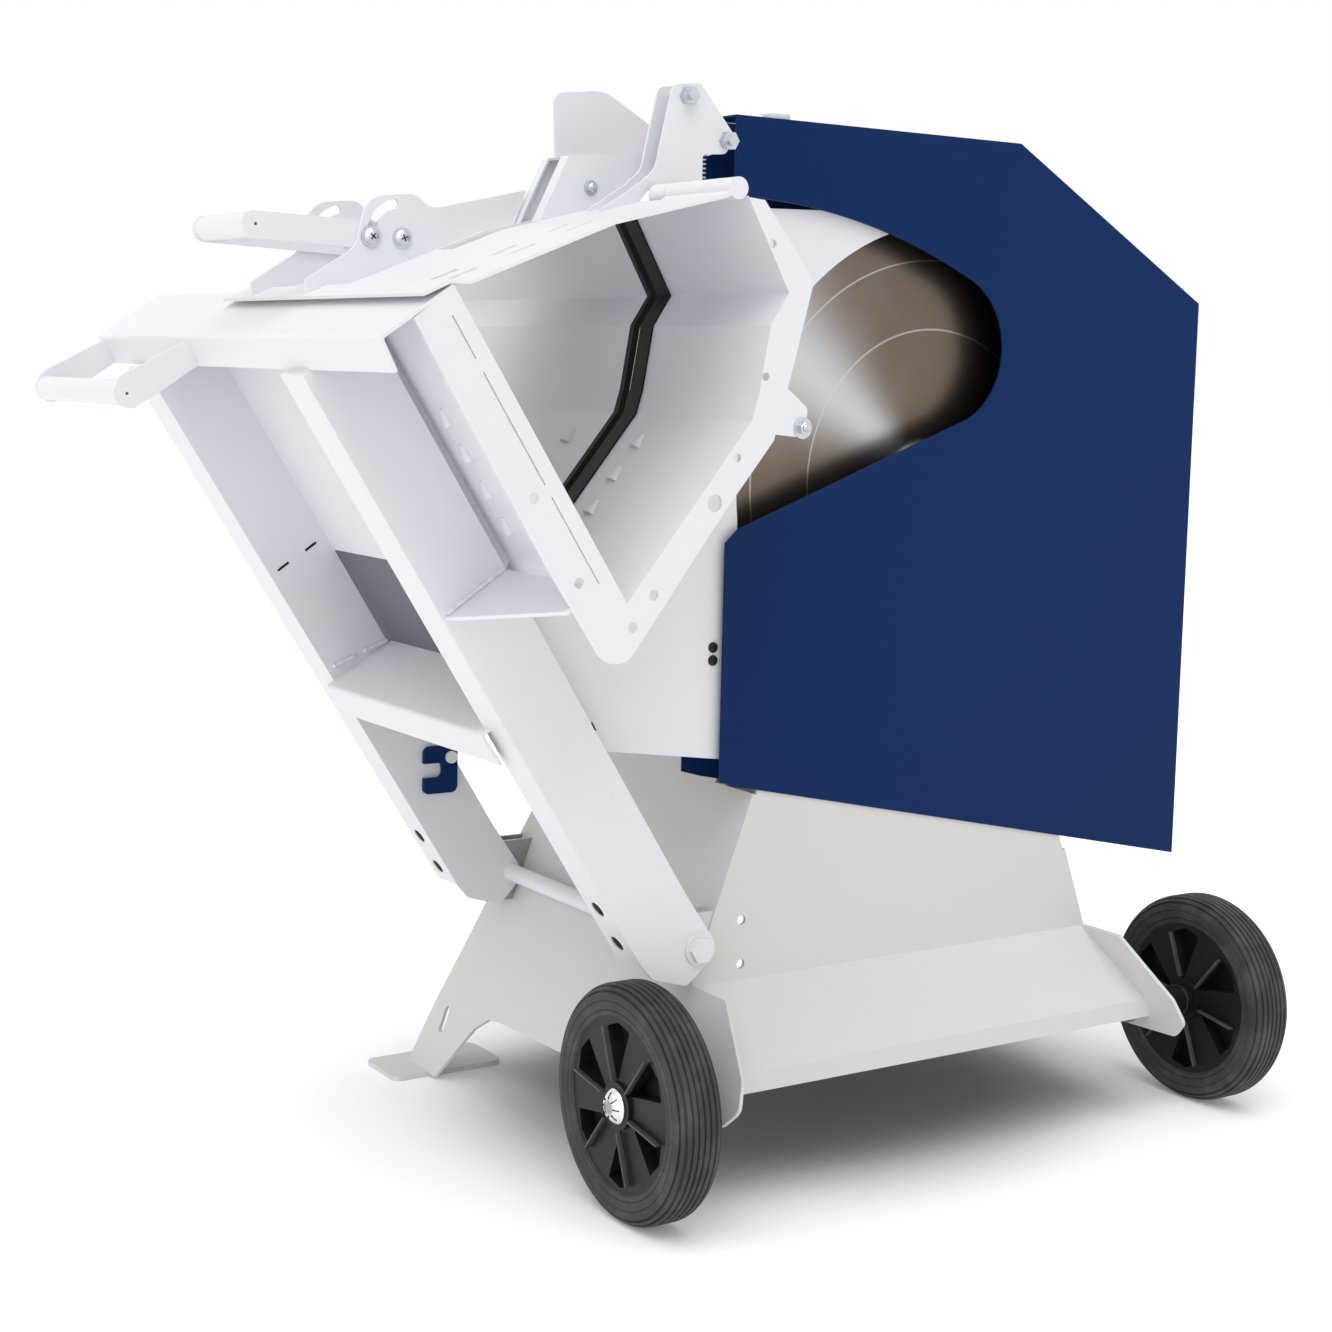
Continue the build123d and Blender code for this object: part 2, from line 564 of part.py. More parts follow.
for name, y0, y1 in (
    ("end_plate_near", TROUGH_Y0 - LEG_T, TROUGH_Y0),
    ("end_plate_far", TROUGH_Y1, TROUGH_Y1 + LEG_T),
):
    end_plate = prism(TROUGH + END_EDGE, y0, y1) - apron
    if name == "end_plate_near":
        end_plate += prism(NUT_TAB, y0, y1)
        for start, end in ((0.06, 0.19), (0.23, 0.58), (0.62, 0.9)):
            seam = [along(*seam_line, start), along(*seam_line, end)]
            end_plate -= prism(seam + offset_line(seam, -1.6)[::-1], y0 - 5, y0 + 2)
    for dx, dz, radius in HOLES:
        end_plate -= rod_y(*cradle(dx, dz), radius, y0 - 5, y1 + 5)
    save(name, end_plate)

# Rocker: legs, rung and panel between the legs
def meet_right(p, q):
    """Where the line p to q meets the saw-side edge of the legs."""
    share_p = p[0] - leg_right(p[1])
    share_q = q[0] - leg_right(q[1])
    return along(p, q, share_p / (share_p - share_q))


LEG_TOP = APRON[2][1] - 5
LEG_FOOT = PIVOT_H - 8.8
flange_line = [(leg_left(LEG_TOP), LEG_TOP), (leg_left(LEG_FOOT), LEG_FOOT)]
flange_points = flange_line + offset_line(flange_line, LEG_T)[::-1]
HOOK_PIN = (leg_right(HOOK_H) - 12.5, HOOK_H)


def leg_web(toe):
    """Edge of a leg, with the reach of its rounded toe beyond the pivot."""
    points = [flange_line[0], apron_in[2], (*apron_in[1], FOLD_R), meet_right(apron_in[0], apron_in[1])]
    points += [(leg_right(PIVOT_H + 60) + toe - 20.5, PIVOT_H + 60), (PIVOT_X + toe, PIVOT_H + 4, 12)]
    points += [(PIVOT_X + 0.6 * toe, PIVOT_H - 15, 8), (PIVOT_X - 14, PIVOT_H - 37, 6)]
    return points + [(leg_left(LEG_FOOT) + 14, LEG_FOOT - 16), flange_line[1]]


for name, y, toe in (("leg_near", LEG_NEAR_Y, 20.5), ("leg_far", LEG_FAR_Y, 13.0)):
    leg = prism(leg_web(toe), y, y + LEG_T) + prism(flange_points, y, y + LEG_FLANGE)
    for z in (PIVOT_H + 9.2, PIVOT_H + 47.2):
        spot = Plane((leg_left(z), y + 28, z), z_dir=(1, 0, LEG_RUN))
        leg -= Solid.make_cylinder(9, 40, spot.offset(-20))
    if name == "leg_far":
        leg -= rod_y(PIVOT_X, PIVOT_H, PIVOT_R, -400, 400)
        leg += rod_y(*HOOK_PIN, 4, y - 9, y + 1) + rod_y(*HOOK_PIN, 7, y - 10, y - 6 - GAP)
    save(name, leg)

save("pivot_tube", rod_y(PIVOT_X, PIVOT_H, PIVOT_R, LEG_NEAR_Y + LEG_T, LEG_FAR_Y + LEG_T + 32))
bolt = hexagon_y(PIVOT_X, PIVOT_H, 24, LEG_NEAR_Y - 9, LEG_NEAR_Y - 3)
save("pivot_bolt", bolt + rod_y(PIVOT_X, PIVOT_H, 17, LEG_NEAR_Y - 3, LEG_NEAR_Y))

RUNG = [
    (leg_right(RUNG_H), RUNG_H),
    (leg_left(RUNG_H - 46.9) - 14.3, RUNG_H - 46.9),
    (leg_left(RUNG_H - 78.2) - 11.8, RUNG_H - 78.2),
]
RUNG_TAB = 14.0
rung = strip(RUNG, SHEET, LEG_NEAR_Y + LEG_FLANGE - RUNG_TAB, LEG_FAR_Y)
rung -= prism(flange_points, LEG_NEAR_Y, LEG_NEAR_Y + LEG_FLANGE)
save("rung", rung)

BACK_LOW, BACK_TOP = TROUGH_H + 4.7, TROUGH_H + 250.7
back_line = [(leg_right(BACK_TOP), BACK_TOP), (leg_right(BACK_LOW), BACK_LOW)]
back_panel = strip(back_line, -SHEET, LEG_NEAR_Y + LEG_T, LEG_FAR_Y)
brace_line = [(leg_right(BACK_LOW + 2), BACK_LOW + 2), (leg_right(RUNG_H - 20), RUNG_H - 20)]
save("leg_brace", strip(brace_line, SHEET, GUARD_BACK_Y + 20, LEG_FAR_Y + LEG_T + 14) - rung)
RIB = [
    (leg_right(BACK_LOW + 4) - 1, BACK_LOW + 4),
    (leg_right(BACK_TOP - 22) - 1, BACK_TOP - 22),
    along(trough_out[0], trough_out[1], 0.08),
    along(trough_out[0], trough_out[1], 0.9),
]
for y in (LEG_NEAR_Y + 14, LEG_FAR_Y - 88):
    back_panel += prism(RIB, y, y + SHEET)
save("back_panel", back_panel)

# Shield that covers the blade beside the trough, and gusset between near leg and near end plate
ARC_R = BLADE_R - 50.0


def around_blade(x):
    """Height above the spindle on the shield's round edge."""
    return math.sqrt(ARC_R**2 - x**2)


SHIELD_LOW_X, SHIELD_HIGH_X = -ARC_R + 1.8, -75.9
shield_corners = [
    (SHIELD_LOW_X, SPINDLE_H - around_blade(SHIELD_LOW_X)),
    (SHIELD_LOW_X + 15.2, SPINDLE_H - 256.1),
    (SHIELD_LOW_X, SPINDLE_H - 280.9),
    (leg_right(SPINDLE_H - 259.0), SPINDLE_H - 259.0),
    (leg_right(TROUGH_H + 168.7), TROUGH_H + 168.7),
    along(trough_out[0], trough_out[1], 0.3),
    *trough_out[1:],
    hinged(36.9, -3.5),
    (SHIELD_HIGH_X, HINGE_H + 4.1),
    (SHIELD_HIGH_X, SPINDLE_H + around_blade(SHIELD_HIGH_X)),
]
spots = [Vector(x, SHIELD_Y0, z) for x, z in shield_corners]
edges = [Edge.make_line(a, b) for a, b in zip(spots, spots[1:])]
middle = Vector(-0.76 * ARC_R, SHIELD_Y0, SPINDLE_H + around_blade(0.76 * ARC_R))
edges.append(Edge.make_three_point_arc(spots[-1], middle, spots[0]))
save("blade_shield", Solid.extrude(Face(Wire(edges)), Vector(0, SHIELD_Y1 - SHIELD_Y0, 0)) - trough_whole)

gusset_line = [(leg_left(TROUGH_H - 26.5) + 4, TROUGH_H - 26.5), (leg_right(TROUGH_H + 16.6), TROUGH_H + 16.6)]
gusset_corners = []
for share, y in ((0.0, LEG_NEAR_Y), (1.0, LEG_NEAR_Y), (1.0, TROUGH_Y0), (0.5, TROUGH_Y0)):
    x, z = along(*gusset_line, share)
    gusset_corners.append(Vector(x, y, z))
run = gusset_corners[1] - gusset_corners[0]
down = Vector(run.Z, 0, -run.X).normalized()
save("gusset", Solid.extrude(Face(Wire.make_polygon(gusset_corners, close=True)), down * LEG_T))

# Lower handle under the apron
HANDLE_X, HANDLE_Z = APRON[1][0] - 59, APRON[1][1] - 56
HANDLE_Y0, HANDLE_Y1 = LEG_FAR_Y - 133, LEG_FAR_Y + 110
ARM_T = 4.0
handle_arm = [
    along(APRON[1], APRON[2], 0.14),
    along(APRON[1], APRON[2], 0.95),
    (HANDLE_X + 4, HANDLE_Z - 17, 14),
    (HANDLE_X - 18, HANDLE_Z - 4, 13),
    (HANDLE_X - 6, HANDLE_Z + 17, 13),
]
lower_handle = rod_y(HANDLE_X, HANDLE_Z, GRIP_R, HANDLE_Y0, HANDLE_Y1)
for y in (HANDLE_Y0, HANDLE_Y1 - ARM_T):
    lower_handle += prism(handle_arm, y, y + ARM_T)
lower_handle -= rod_y(HANDLE_X, HANDLE_Z, 1.6, HANDLE_Y0 - 5, HANDLE_Y0 + 12)
save("lower_handle", lower_handle)

# Transport latch: a hook that swings on a pin in the far leg
hook_edge = [(-33, 13, 8), (9, 13, 8), (9, -41, 8), (-33, -41, 6), (-33, -23), (-10, -23, 6), (-10, -6, 6), (-33, -6)]
hook = prism(
    [(HOOK_PIN[0] + p[0], HOOK_PIN[1] + p[1], *p[2:]) for p in hook_edge],
    LEG_FAR_Y - 6,
    LEG_FAR_Y - GAP,
)
save("latch_hook", hook - rod_y(*HOOK_PIN, 4 + RUN, 0, 400))

# Hinge between trough and lid: each pin ends inside the lid's closed knuckle
wall_top = trough_out[-1]
wall_down = along(trough_out[-1], trough_out[-2], 0.45)
leaf_out = offset_line([wall_down, wall_top], -SHEET)
leaf = [wall_down, wall_top, hinged(0, 0), hinged(8, 3), leaf_out[1], leaf_out[0]]
LID_Y0 = TROUGH_Y0 - LEG_T
HINGES = {
    "near": {"pin": (-214, -85), "trough": (-112, -85), "lid": (TROUGH_Y0, -112.5), "bore": (-215, -100)},
    "far": {"pin": (38, 199), "trough": (38, 64), "lid": (64.5, LID_Y1 - 1.5), "bore": (50, 200)},
}
lid_knuckles = {}
for side, spans in HINGES.items():
    knuckle = rod_y(HINGE_X, HINGE_H, KNUCKLE_R, *spans["trough"]) + prism(leaf, *spans["trough"])
    knuckle -= trough_whole
    save(f"hinge_{side}", knuckle + rod_y(HINGE_X, HINGE_H, PIN_R, *spans["pin"]))
    lid_knuckles[side] = rod_y(HINGE_X, HINGE_H, KNUCKLE_R, *spans["lid"])

# Lid with its slot and the two ears for the upper handle
LID = [hinged(-314.0, -106.2), hinged(-289.5, -95.0), hinged(-271.1, -95.0), hinged(-131.2, -39.0)]
LID += [hinged(-13.4, -9.2)]
lid_top_line = offset_line(LID, SHEET)


def lid_top(dx):
    """Point on the lid's upper face at a distance from the hinge."""
    x = HINGE_X + dx
    for a, b in zip(lid_top_line, lid_top_line[1:]):
        if a[0] <= x <= b[0]:
            return along(a, b, (x - a[0]) / (b[0] - a[0]))
    return lid_top_line[-1]


def rooted(dx):
    """Point in the middle of the lid's sheet."""
    x, z = lid_top(dx)
    return (x, z - SHEET / 2)


lid = strip(LID, SHEET, LID_Y0, LID_Y1)
lid -= block(HINGE_X - 181.4, HINGE_X + 40, SLOT_Y0, SLOT_Y1 + 4, HINGE_H - 200, HINGE_H + 200)
for row in (-175.5, -142.3):
    for dx in (-252.4, -195.4, -138.4):
        x = HINGE_X + dx
        lid -= block(x - 13, x + 13, row - 5, row + 5, HINGE_H - 200, HINGE_H + 50)
for side, spans in HINGES.items():
    web = prism([LID[-1], lid_top_line[-1], hinged(0, 4), hinged(0, -4)], *spans["lid"])
    lid = lid + lid_knuckles[side] + web
    lid -= rod_y(HINGE_X, HINGE_H, PIN_R + RUN, *spans["bore"])

EAR_TOP = [hinged(-311.5, -88, 5), hinged(-262, -57, 18), hinged(-250, -10, 26), hinged(-200, -5, 18)]
EAR_FOOT = [rooted(-272), rooted(-288.5), rooted(-310)]
EAR_EDGES = {
    "near": EAR_TOP + [hinged(-186, -18.5, 20), hinged(-82.4, 5.3), rooted(-96.4), rooted(-131)] + EAR_FOOT,
    "far": EAR_TOP + [rooted(-162)] + EAR_FOOT,
}
EAR_T = 4.0
EAR_YS = {"near": 18.0, "far": 144.2}
PIVOT_BOLT = hinged(-214.6, -46.5)
UPPER_GRIP = hinged(-357.8, -40.5)
CLAMP_R = 32.0
UPPER_SWING = 75.0


def clamp_spot(turn):
    """Clamp screw, turned up about the handle's pivot."""
    angle = math.radians(180 - turn)
    return (PIVOT_BOLT[0] + CLAMP_R * math.cos(angle), PIVOT_BOLT[1] + CLAMP_R * math.sin(angle))


def arc_slot(y0, y1, half):
    """Curved slot that the clamp screw travels in."""
    ring = rod_y(*PIVOT_BOLT, CLAMP_R + half, y0, y1) - rod_y(*PIVOT_BOLT, CLAMP_R - half, y0, y1)
    far_end = clamp_spot(UPPER_SWING)
    wide = 3 * CLAMP_R
    tip = along(PIVOT_BOLT, far_end, 3)
    wedge = prism([PIVOT_BOLT, tip, (PIVOT_BOLT[0] - wide, tip[1]), (PIVOT_BOLT[0] - wide, PIVOT_BOLT[1])], y0, y1)
    ends = rod_y(*clamp_spot(0), half, y0, y1) + rod_y(*far_end, half, y0, y1)
    return (ring & wedge) + ends


for side, y in EAR_YS.items():
    lid += prism(EAR_EDGES[side], y, y + EAR_T) - arc_slot(y - 5, y + EAR_T + 5, 4.5)
ARM_YS = {"near": EAR_YS["near"] + EAR_T + GAP, "far": EAR_YS["far"] - GAP - ARM_T}
upper_arm = [
    (PIVOT_BOLT[0] + 13, PIVOT_BOLT[1] - 13, 12),
    (PIVOT_BOLT[0] + 13, PIVOT_BOLT[1] + 13, 12),
    (UPPER_GRIP[0] - 13, UPPER_GRIP[1] + 12, 11),
    (UPPER_GRIP[0] - 13, UPPER_GRIP[1] - 12, 11),
]
upper_handle = rod_y(*UPPER_GRIP, GRIP_R - 1, ARM_YS["near"], ARM_YS["far"] + ARM_T)
for side, y in ARM_YS.items():
    upper_handle += prism(upper_arm, y, y + ARM_T)
    ear_y = EAR_YS[side]
    outer = ear_y - 2 if side == "near" else ear_y + EAR_T + 2
    upper_handle += rod_y(*clamp_spot(0), 4, min(outer, y + 1), max(outer, y + ARM_T - 1))
    inner = y + ARM_T + 1 if side == "near" else y - 1
    lid += rod_y(*PIVOT_BOLT, 5, min(ear_y, inner), max(ear_y + EAR_T, inner))
save("lid", lid)
upper_handle -= rod_y(*UPPER_GRIP, 1.6, ARM_YS["near"] - 5, ARM_YS["near"] + 12)
save("upper_handle", upper_handle - rod_y(*PIVOT_BOLT, 5 + RUN, 0, 200))

# Hood over the blade's slot, open along the middle, with the fin on its far half
HOOD_Y0, HOOD_Y1, HOOD_GAP, HOOD_T = SLOT_Y0 - 4, GUARD_BACK_Y - 9.2, 12.0, 2.0
hood_side = [lid_top(-94.1), hinged(-62.8, 36.3), hinged(47.3, 45.8), hinged(47.3, 24.9), hinged(8.4, 17.3)]
hood_side += [lid_top(-17.2)]
hollow = [hinged(-150, -90), (lid_top(-92)[0], lid_top(-94)[1]), hinged(-61.3, 34.3), hinged(52, 44.1), hinged(52, -90)]
hood = prism(hood_side, HOOD_Y0, HOOD_Y1) - prism(hollow, HOOD_Y0 + HOOD_T, HOOD_Y1 - HOOD_T)
save("hood", hood - block(HINGE_X - 200, HINGE_X + 200, -HOOD_GAP, HOOD_Y1 + 5, HINGE_H - 200, HINGE_H + 200))
hood_far = hood - block(HINGE_X - 200, HINGE_X + 200, HOOD_Y0 - 5, HOOD_GAP, HINGE_H - 200, HINGE_H + 200)
FIN = [hinged(-50, 30.6), hinged(-53.3, 98.9, 12), hinged(3.1, 105.6, 40), hinged(61.5, 74.3, 10), hinged(39.7, 30.6)]
save("fin", hood_far + prism(FIN, HOOD_Y1 - 3, HOOD_Y1))

# Lever bracket beside the hinge, with its two cross bolts and the spring between its cheeks
LEVER_Y0, LEVER_Y1 = -79.7, -51.2
SPRING_DX, SHELF_DZ = 59.6, 9.8
lever_side = [
    lid_top(-62.8),
    hinged(-16.3, 10.7, 14),
    hinged(0.8, 24.9, 20),
    hinged(18.8, 103.7, 8),
    hinged(49.2, 108.4, 10),
    hinged(92.8, 59.1, 9),
    hinged(79.6, 43.9, 6),
    hinged(53.9, 42.0, 4),
    hinged(53.9, SHELF_DZ),
    hinged(-5.8, 6.0),
    lid_top(-17.2),
]
lever = prism(lever_side, LEVER_Y0, LEVER_Y0 + SHEET) + prism(lever_side, LEVER_Y1 - SHEET, LEVER_Y1)
shelf_z = HINGE_H + SHELF_DZ
lever += block(HINGE_X - 5, HINGE_X + SPRING_DX + 11, LEVER_Y0, LEVER_Y1, shelf_z, shelf_z + SHEET)
TOP_BOLT = hinged(35.0, 95.1)
SIDE_BOLT = hinged(81.5, 56.2)
for spot in (TOP_BOLT, SIDE_BOLT):
    lever -= rod_y(*spot, 5, -200, 0)
save("lever_bracket", lever)
for name, spot in (("lever_bolt_top", TOP_BOLT), ("lever_bolt_side", SIDE_BOLT)):
    cross_bolt = rod_y(*spot, 5, LEVER_Y0 - 12, LEVER_Y1 + 2)
    cross_bolt += hexagon_y(*spot, 16, LEVER_Y0 - 8, LEVER_Y0)
    cross_bolt += hexagon_y(*spot, 16, LEVER_Y1, LEVER_Y1 + 6)
    save(name, cross_bolt)

SPRING_R, WIRE_R, PITCH, TURNS = 6.0, 0.9, 4.2, 8
SPRING_FOOT = Vector(HINGE_X + SPRING_DX, (LEVER_Y0 + LEVER_Y1) / 2, shelf_z + SHEET + WIRE_R)


def coil(turn):
    """Centre line and direction of the spring after some turns."""
    angle = 2 * math.pi * turn
    spot = Vector(SPRING_R * math.cos(angle), SPRING_R * math.sin(angle), PITCH * turn)
    heading = Vector(-SPRING_R * math.sin(angle), SPRING_R * math.cos(angle), PITCH / (2 * math.pi))
    return spot + SPRING_FOOT, heading.normalized()


def biarc(p0, t0, p1, t1):
    """Two arcs that leave p0 along t0 and reach p1 along t1."""
    v = p1 - p0
    bend = 2 * (1 - t0.dot(t1))
    along_v = v.dot(t0 + t1)
    d = (-along_v + math.sqrt(along_v**2 + bend * v.dot(v))) / bend
    middle = (p0 + t0 * d + p1 - t1 * d) * 0.5
    turn = (p1 - t1 * d - p0 - t0 * d).normalized()
    return [Edge.make_tangent_arc(p0, t0, middle), Edge.make_tangent_arc(middle, turn, p1)]


turns = []
for i in range(4 * TURNS):
    turns += biarc(*coil(i / 4), *coil((i + 1) / 4))
start, heading = coil(0)
spring = sweep(Plane(start, z_dir=heading) * Circle(WIRE_R), path=Wire(turns))
save("lid_spring", spring)
probe = [coil(i / 48)[0] for i in range(48 * TURNS + 1)]
least = min((a - b).length for i, a in enumerate(probe) for b in probe[i + 24 :]) - 2 * WIRE_R
print(f"lid_spring least gap to itself {least:.2f} mm")
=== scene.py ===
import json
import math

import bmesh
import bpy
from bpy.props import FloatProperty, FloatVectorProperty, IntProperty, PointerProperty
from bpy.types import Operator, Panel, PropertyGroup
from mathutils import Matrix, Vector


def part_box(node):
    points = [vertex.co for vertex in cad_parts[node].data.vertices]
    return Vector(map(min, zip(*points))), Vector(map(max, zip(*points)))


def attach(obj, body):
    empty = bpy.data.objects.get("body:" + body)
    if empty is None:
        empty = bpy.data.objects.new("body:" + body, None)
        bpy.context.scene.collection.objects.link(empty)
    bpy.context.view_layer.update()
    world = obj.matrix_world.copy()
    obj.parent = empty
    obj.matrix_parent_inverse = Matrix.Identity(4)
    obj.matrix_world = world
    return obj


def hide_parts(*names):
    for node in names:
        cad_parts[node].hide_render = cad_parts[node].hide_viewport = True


bl_info = {
    "name": "Tilting firewood saw",
    "version": (1, 0, 0),
    "blender": (4, 5, 0),
    "location": "View3D > Sidebar > Firewood saw",
    "description": "Dresses the solids of a tilting firewood saw and sets up its studio",
    "category": "Object",
}

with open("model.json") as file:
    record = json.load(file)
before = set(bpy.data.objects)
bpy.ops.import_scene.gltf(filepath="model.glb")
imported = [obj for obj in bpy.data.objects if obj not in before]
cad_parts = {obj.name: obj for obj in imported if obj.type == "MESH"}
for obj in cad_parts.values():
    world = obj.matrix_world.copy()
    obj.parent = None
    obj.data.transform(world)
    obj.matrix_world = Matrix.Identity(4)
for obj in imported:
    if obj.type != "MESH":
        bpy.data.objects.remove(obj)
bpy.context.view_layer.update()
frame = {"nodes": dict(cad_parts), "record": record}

MM = 0.001
IMAGE_SIDE = 1332
ALONG = Vector((0, 1, 0))
TOWARDS = Vector((0, -1, 0))
RIGHT = Vector((1, 0, 0))
LEFT = Vector((-1, 0, 0))
UP = Vector((0, 0, 1))


def middle(node):
    """Centre of a solid's box."""
    low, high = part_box(node)
    return (low + high) / 2


BLADE = middle("blade")


def at(x, y, z):
    """Place in millimetres from the blade's centre line and the floor."""
    return Vector((BLADE.x + x * MM, BLADE.y + y * MM, z * MM))


def on_face(x, z, face_y):
    """Place in millimetres from the blade's centre line and the floor, on a face at a depth of the frame."""
    spot = at(x, 0, z)
    spot.y = face_y
    return spot


# Places of the added detail: (x, z) or (x, y, z) for at, lengths in millimetres
END_PLATE_NUT = (-337.1, 786.7)
HOOD_NUT = (-450.2, 1007.0)
SHIELD_PLUGS = ((-299.0, 558.4), (-299.0, 545.1))
LEG_PLUGS = ((-403.4, 262.0), (-427.4, 300.0))
LEG_PLUG_INSET = 22
EAR_PIVOT = (-626.2, 952.7)
EAR_CLAMP = (-658.2, 952.7)
EARS = (("near", 18.0, TOWARDS, -0.6), ("far", 148.2, ALONG, 0.6))
SLEEVE_ENDS = (("left", -359.0), ("right", 266.0))
TROUGH_BOTTOM = (-523.3, 0, 631.3)
TROUGH_WALLS = (
    ("right", (129.7, 0, 161.7), (-161.7, 0, 129.7), 0, (-64.6, 67.2), (95.2, 135.4, 175.6)),
    ("left", (-174.4, 0, 271.1), (-271.1, 0, -174.4), 3, (-78.5,), (73.4, 113.5, 153.4, 191.3)),
)
LEG_SLITS = (
    ((-575.2, 337.9, 638.6), 0.61, 0.015, 0.0026),
    ((-606.9, 337.9, 617.9), 0.61, 0.015, 0.0026),
    ((-453.0, -55.1, 491.5), 2.11, 0.0095, 0.0016),
)
WELDS = (
    ((-612.0, -56.0, 609.5), (-556.0, -56.0, 647.5)),
    ((-485.0, 336.5, 532.0), (-510.0, 336.5, 522.0)),
    ((-524.0, 336.5, 516.4), (-547.0, 336.5, 507.2)),
)
GUARD_TAB = (-229.5, -19, 1089.6)
GUARD_TAB_SIZE = (0.022, 0.020, 0.0075)
LEG_LEAN = 0.6303

# Hubs, blade and ribs: turns in degrees, radii in metres
HUB_POCKETS = 6
RIDGE_ENDS = ((0.026, 12), (0.079, 18))
TENSION_RINGS = (0.164, 0.237)
BLADE_TEETH = 36
MOTOR_RIBS = 40
COVER_RIBS = 7

# Node groups and materials


def put(tree, kind, inputs=None, **settings):
    """Add a shader node, with its settings and what its sockets take."""
    node = tree.nodes.new("ShaderNode" + kind)
    for key, value in settings.items():
        setattr(node, key, value)
    for socket, value in (inputs or {}).items():
        if isinstance(value, bpy.types.NodeSocket):
            tree.links.new(value, node.inputs[socket])
        else:
            node.inputs[socket].default_value = value
    return node


def new_group(name, inputs, outputs):
    """Empty node group with named sockets."""
    tree = bpy.data.node_groups.new(name, "ShaderNodeTree")
    for label, kind in inputs:
        tree.interface.new_socket(label, in_out="INPUT", socket_type="NodeSocket" + kind)
    for label, kind in outputs:
        tree.interface.new_socket(label, in_out="OUTPUT", socket_type="NodeSocket" + kind)
    return tree, tree.nodes.new("NodeGroupInput").outputs, tree.nodes.new("NodeGroupOutput").inputs


def spread(tree, value, low, high):
    """Carry a 0 to 1 value to another range."""
    return put(tree, "MapRange", {0: value, 1: 0.0, 2: 1.0, 3: low, 4: high}).outputs[0]


SURFACE = (("Colour", "Color"), ("Roughness", "Float"), ("Height", "Float"))


def powder_coat_group():
    """Sprayed paint: fine orange peel, faint clouds and slightly uneven gloss."""
    inputs = (("Colour", "Color"), ("Cloud", "Float"), ("Gloss", "Float"))
    tree, given, result = new_group("Powder coat", inputs, SURFACE)
    place = put(tree, "TexCoord").outputs["Object"]
    clouds = put(tree, "TexNoise", {"Vector": place, "Scale": 4.0, "Detail": 5.0}).outputs[0]
    peel = put(tree, "TexNoise", {"Vector": place, "Scale": 380.0, "Detail": 2.0}).outputs[0]
    centred = put(tree, "Math", {0: clouds, 1: 0.5}, operation="SUBTRACT").outputs[0]
    scaled = put(tree, "Math", {0: centred, 1: given["Cloud"]}, operation="MULTIPLY").outputs[0]
    value = put(tree, "Math", {0: scaled, 1: 1.0}).outputs[0]
    shaded = put(tree, "HueSaturation", {"Color": given["Colour"], "Value": value}).outputs[0]
    sheen = put(tree, "Math", {0: spread(tree, clouds, -0.05, 0.05), 1: given["Gloss"]}).outputs[0]
    tree.links.new(shaded, result["Colour"])
    tree.links.new(sheen, result["Roughness"])
    tree.links.new(peel, result["Height"])
    return tree


def drawn_metal_group():
    """Bare or plated metal: cloudy tint and fine scratches across the surface."""
    inputs = (("Colour", "Color"), ("Tint", "Color"), ("Patch", "Float"), ("Gloss", "Float"))
    tree, given, result = new_group("Drawn metal", inputs, SURFACE)
    place = put(tree, "TexCoord").outputs["Object"]
    patches = put(tree, "TexNoise", {"Vector": place, "Scale": given["Patch"], "Detail": 4.0}).outputs[0]
    long_way = put(tree, "Mapping", {"Vector": place, "Scale": (30.0, 30.0, 1200.0)}).outputs[0]
    scratch = put(tree, "TexNoise", {"Vector": long_way, "Scale": 1.0, "Detail": 3.0}).outputs[0]
    mixed = put(tree, "Mix", {0: patches, 6: given["Colour"], 7: given["Tint"]}, data_type="RGBA").outputs[2]
    sheen = put(tree, "Math", {0: spread(tree, scratch, -0.08, 0.08), 1: given["Gloss"]}).outputs[0]
    tree.links.new(mixed, result["Colour"])
    tree.links.new(sheen, result["Roughness"])
    tree.links.new(scratch, result["Height"])
    return tree


def bloomed_rubber_group():
    """Moulded rubber and plastic: fine grain with a dusty bloom."""
    inputs = (("Colour", "Color"), ("Bloom", "Color"), ("Amount", "Float"), ("Gloss", "Float"))
    tree, given, result = new_group("Bloomed moulding", inputs, SURFACE)
    place = put(tree, "TexCoord").outputs["Object"]
    dusty = put(tree, "TexNoise", {"Vector": place, "Scale": 28.0, "Detail": 6.0, "Roughness": 0.65}).outputs[0]
    grain = put(tree, "TexNoise", {"Vector": place, "Scale": 900.0, "Detail": 3.0}).outputs[0]
    share = put(tree, "MapRange", {0: dusty, 1: 0.45, 2: 0.75, 3: 0.0, 4: given["Amount"]}).outputs[0]
    mixed = put(tree, "Mix", {0: share, 6: given["Colour"], 7: given["Bloom"]}, data_type="RGBA").outputs[2]
    sheen = put(tree, "Math", {0: spread(tree, dusty, -0.08, 0.08), 1: given["Gloss"]}).outputs[0]
    tree.links.new(mixed, result["Colour"])
    tree.links.new(sheen, result["Roughness"])
    tree.links.new(grain, result["Height"])
    return tree


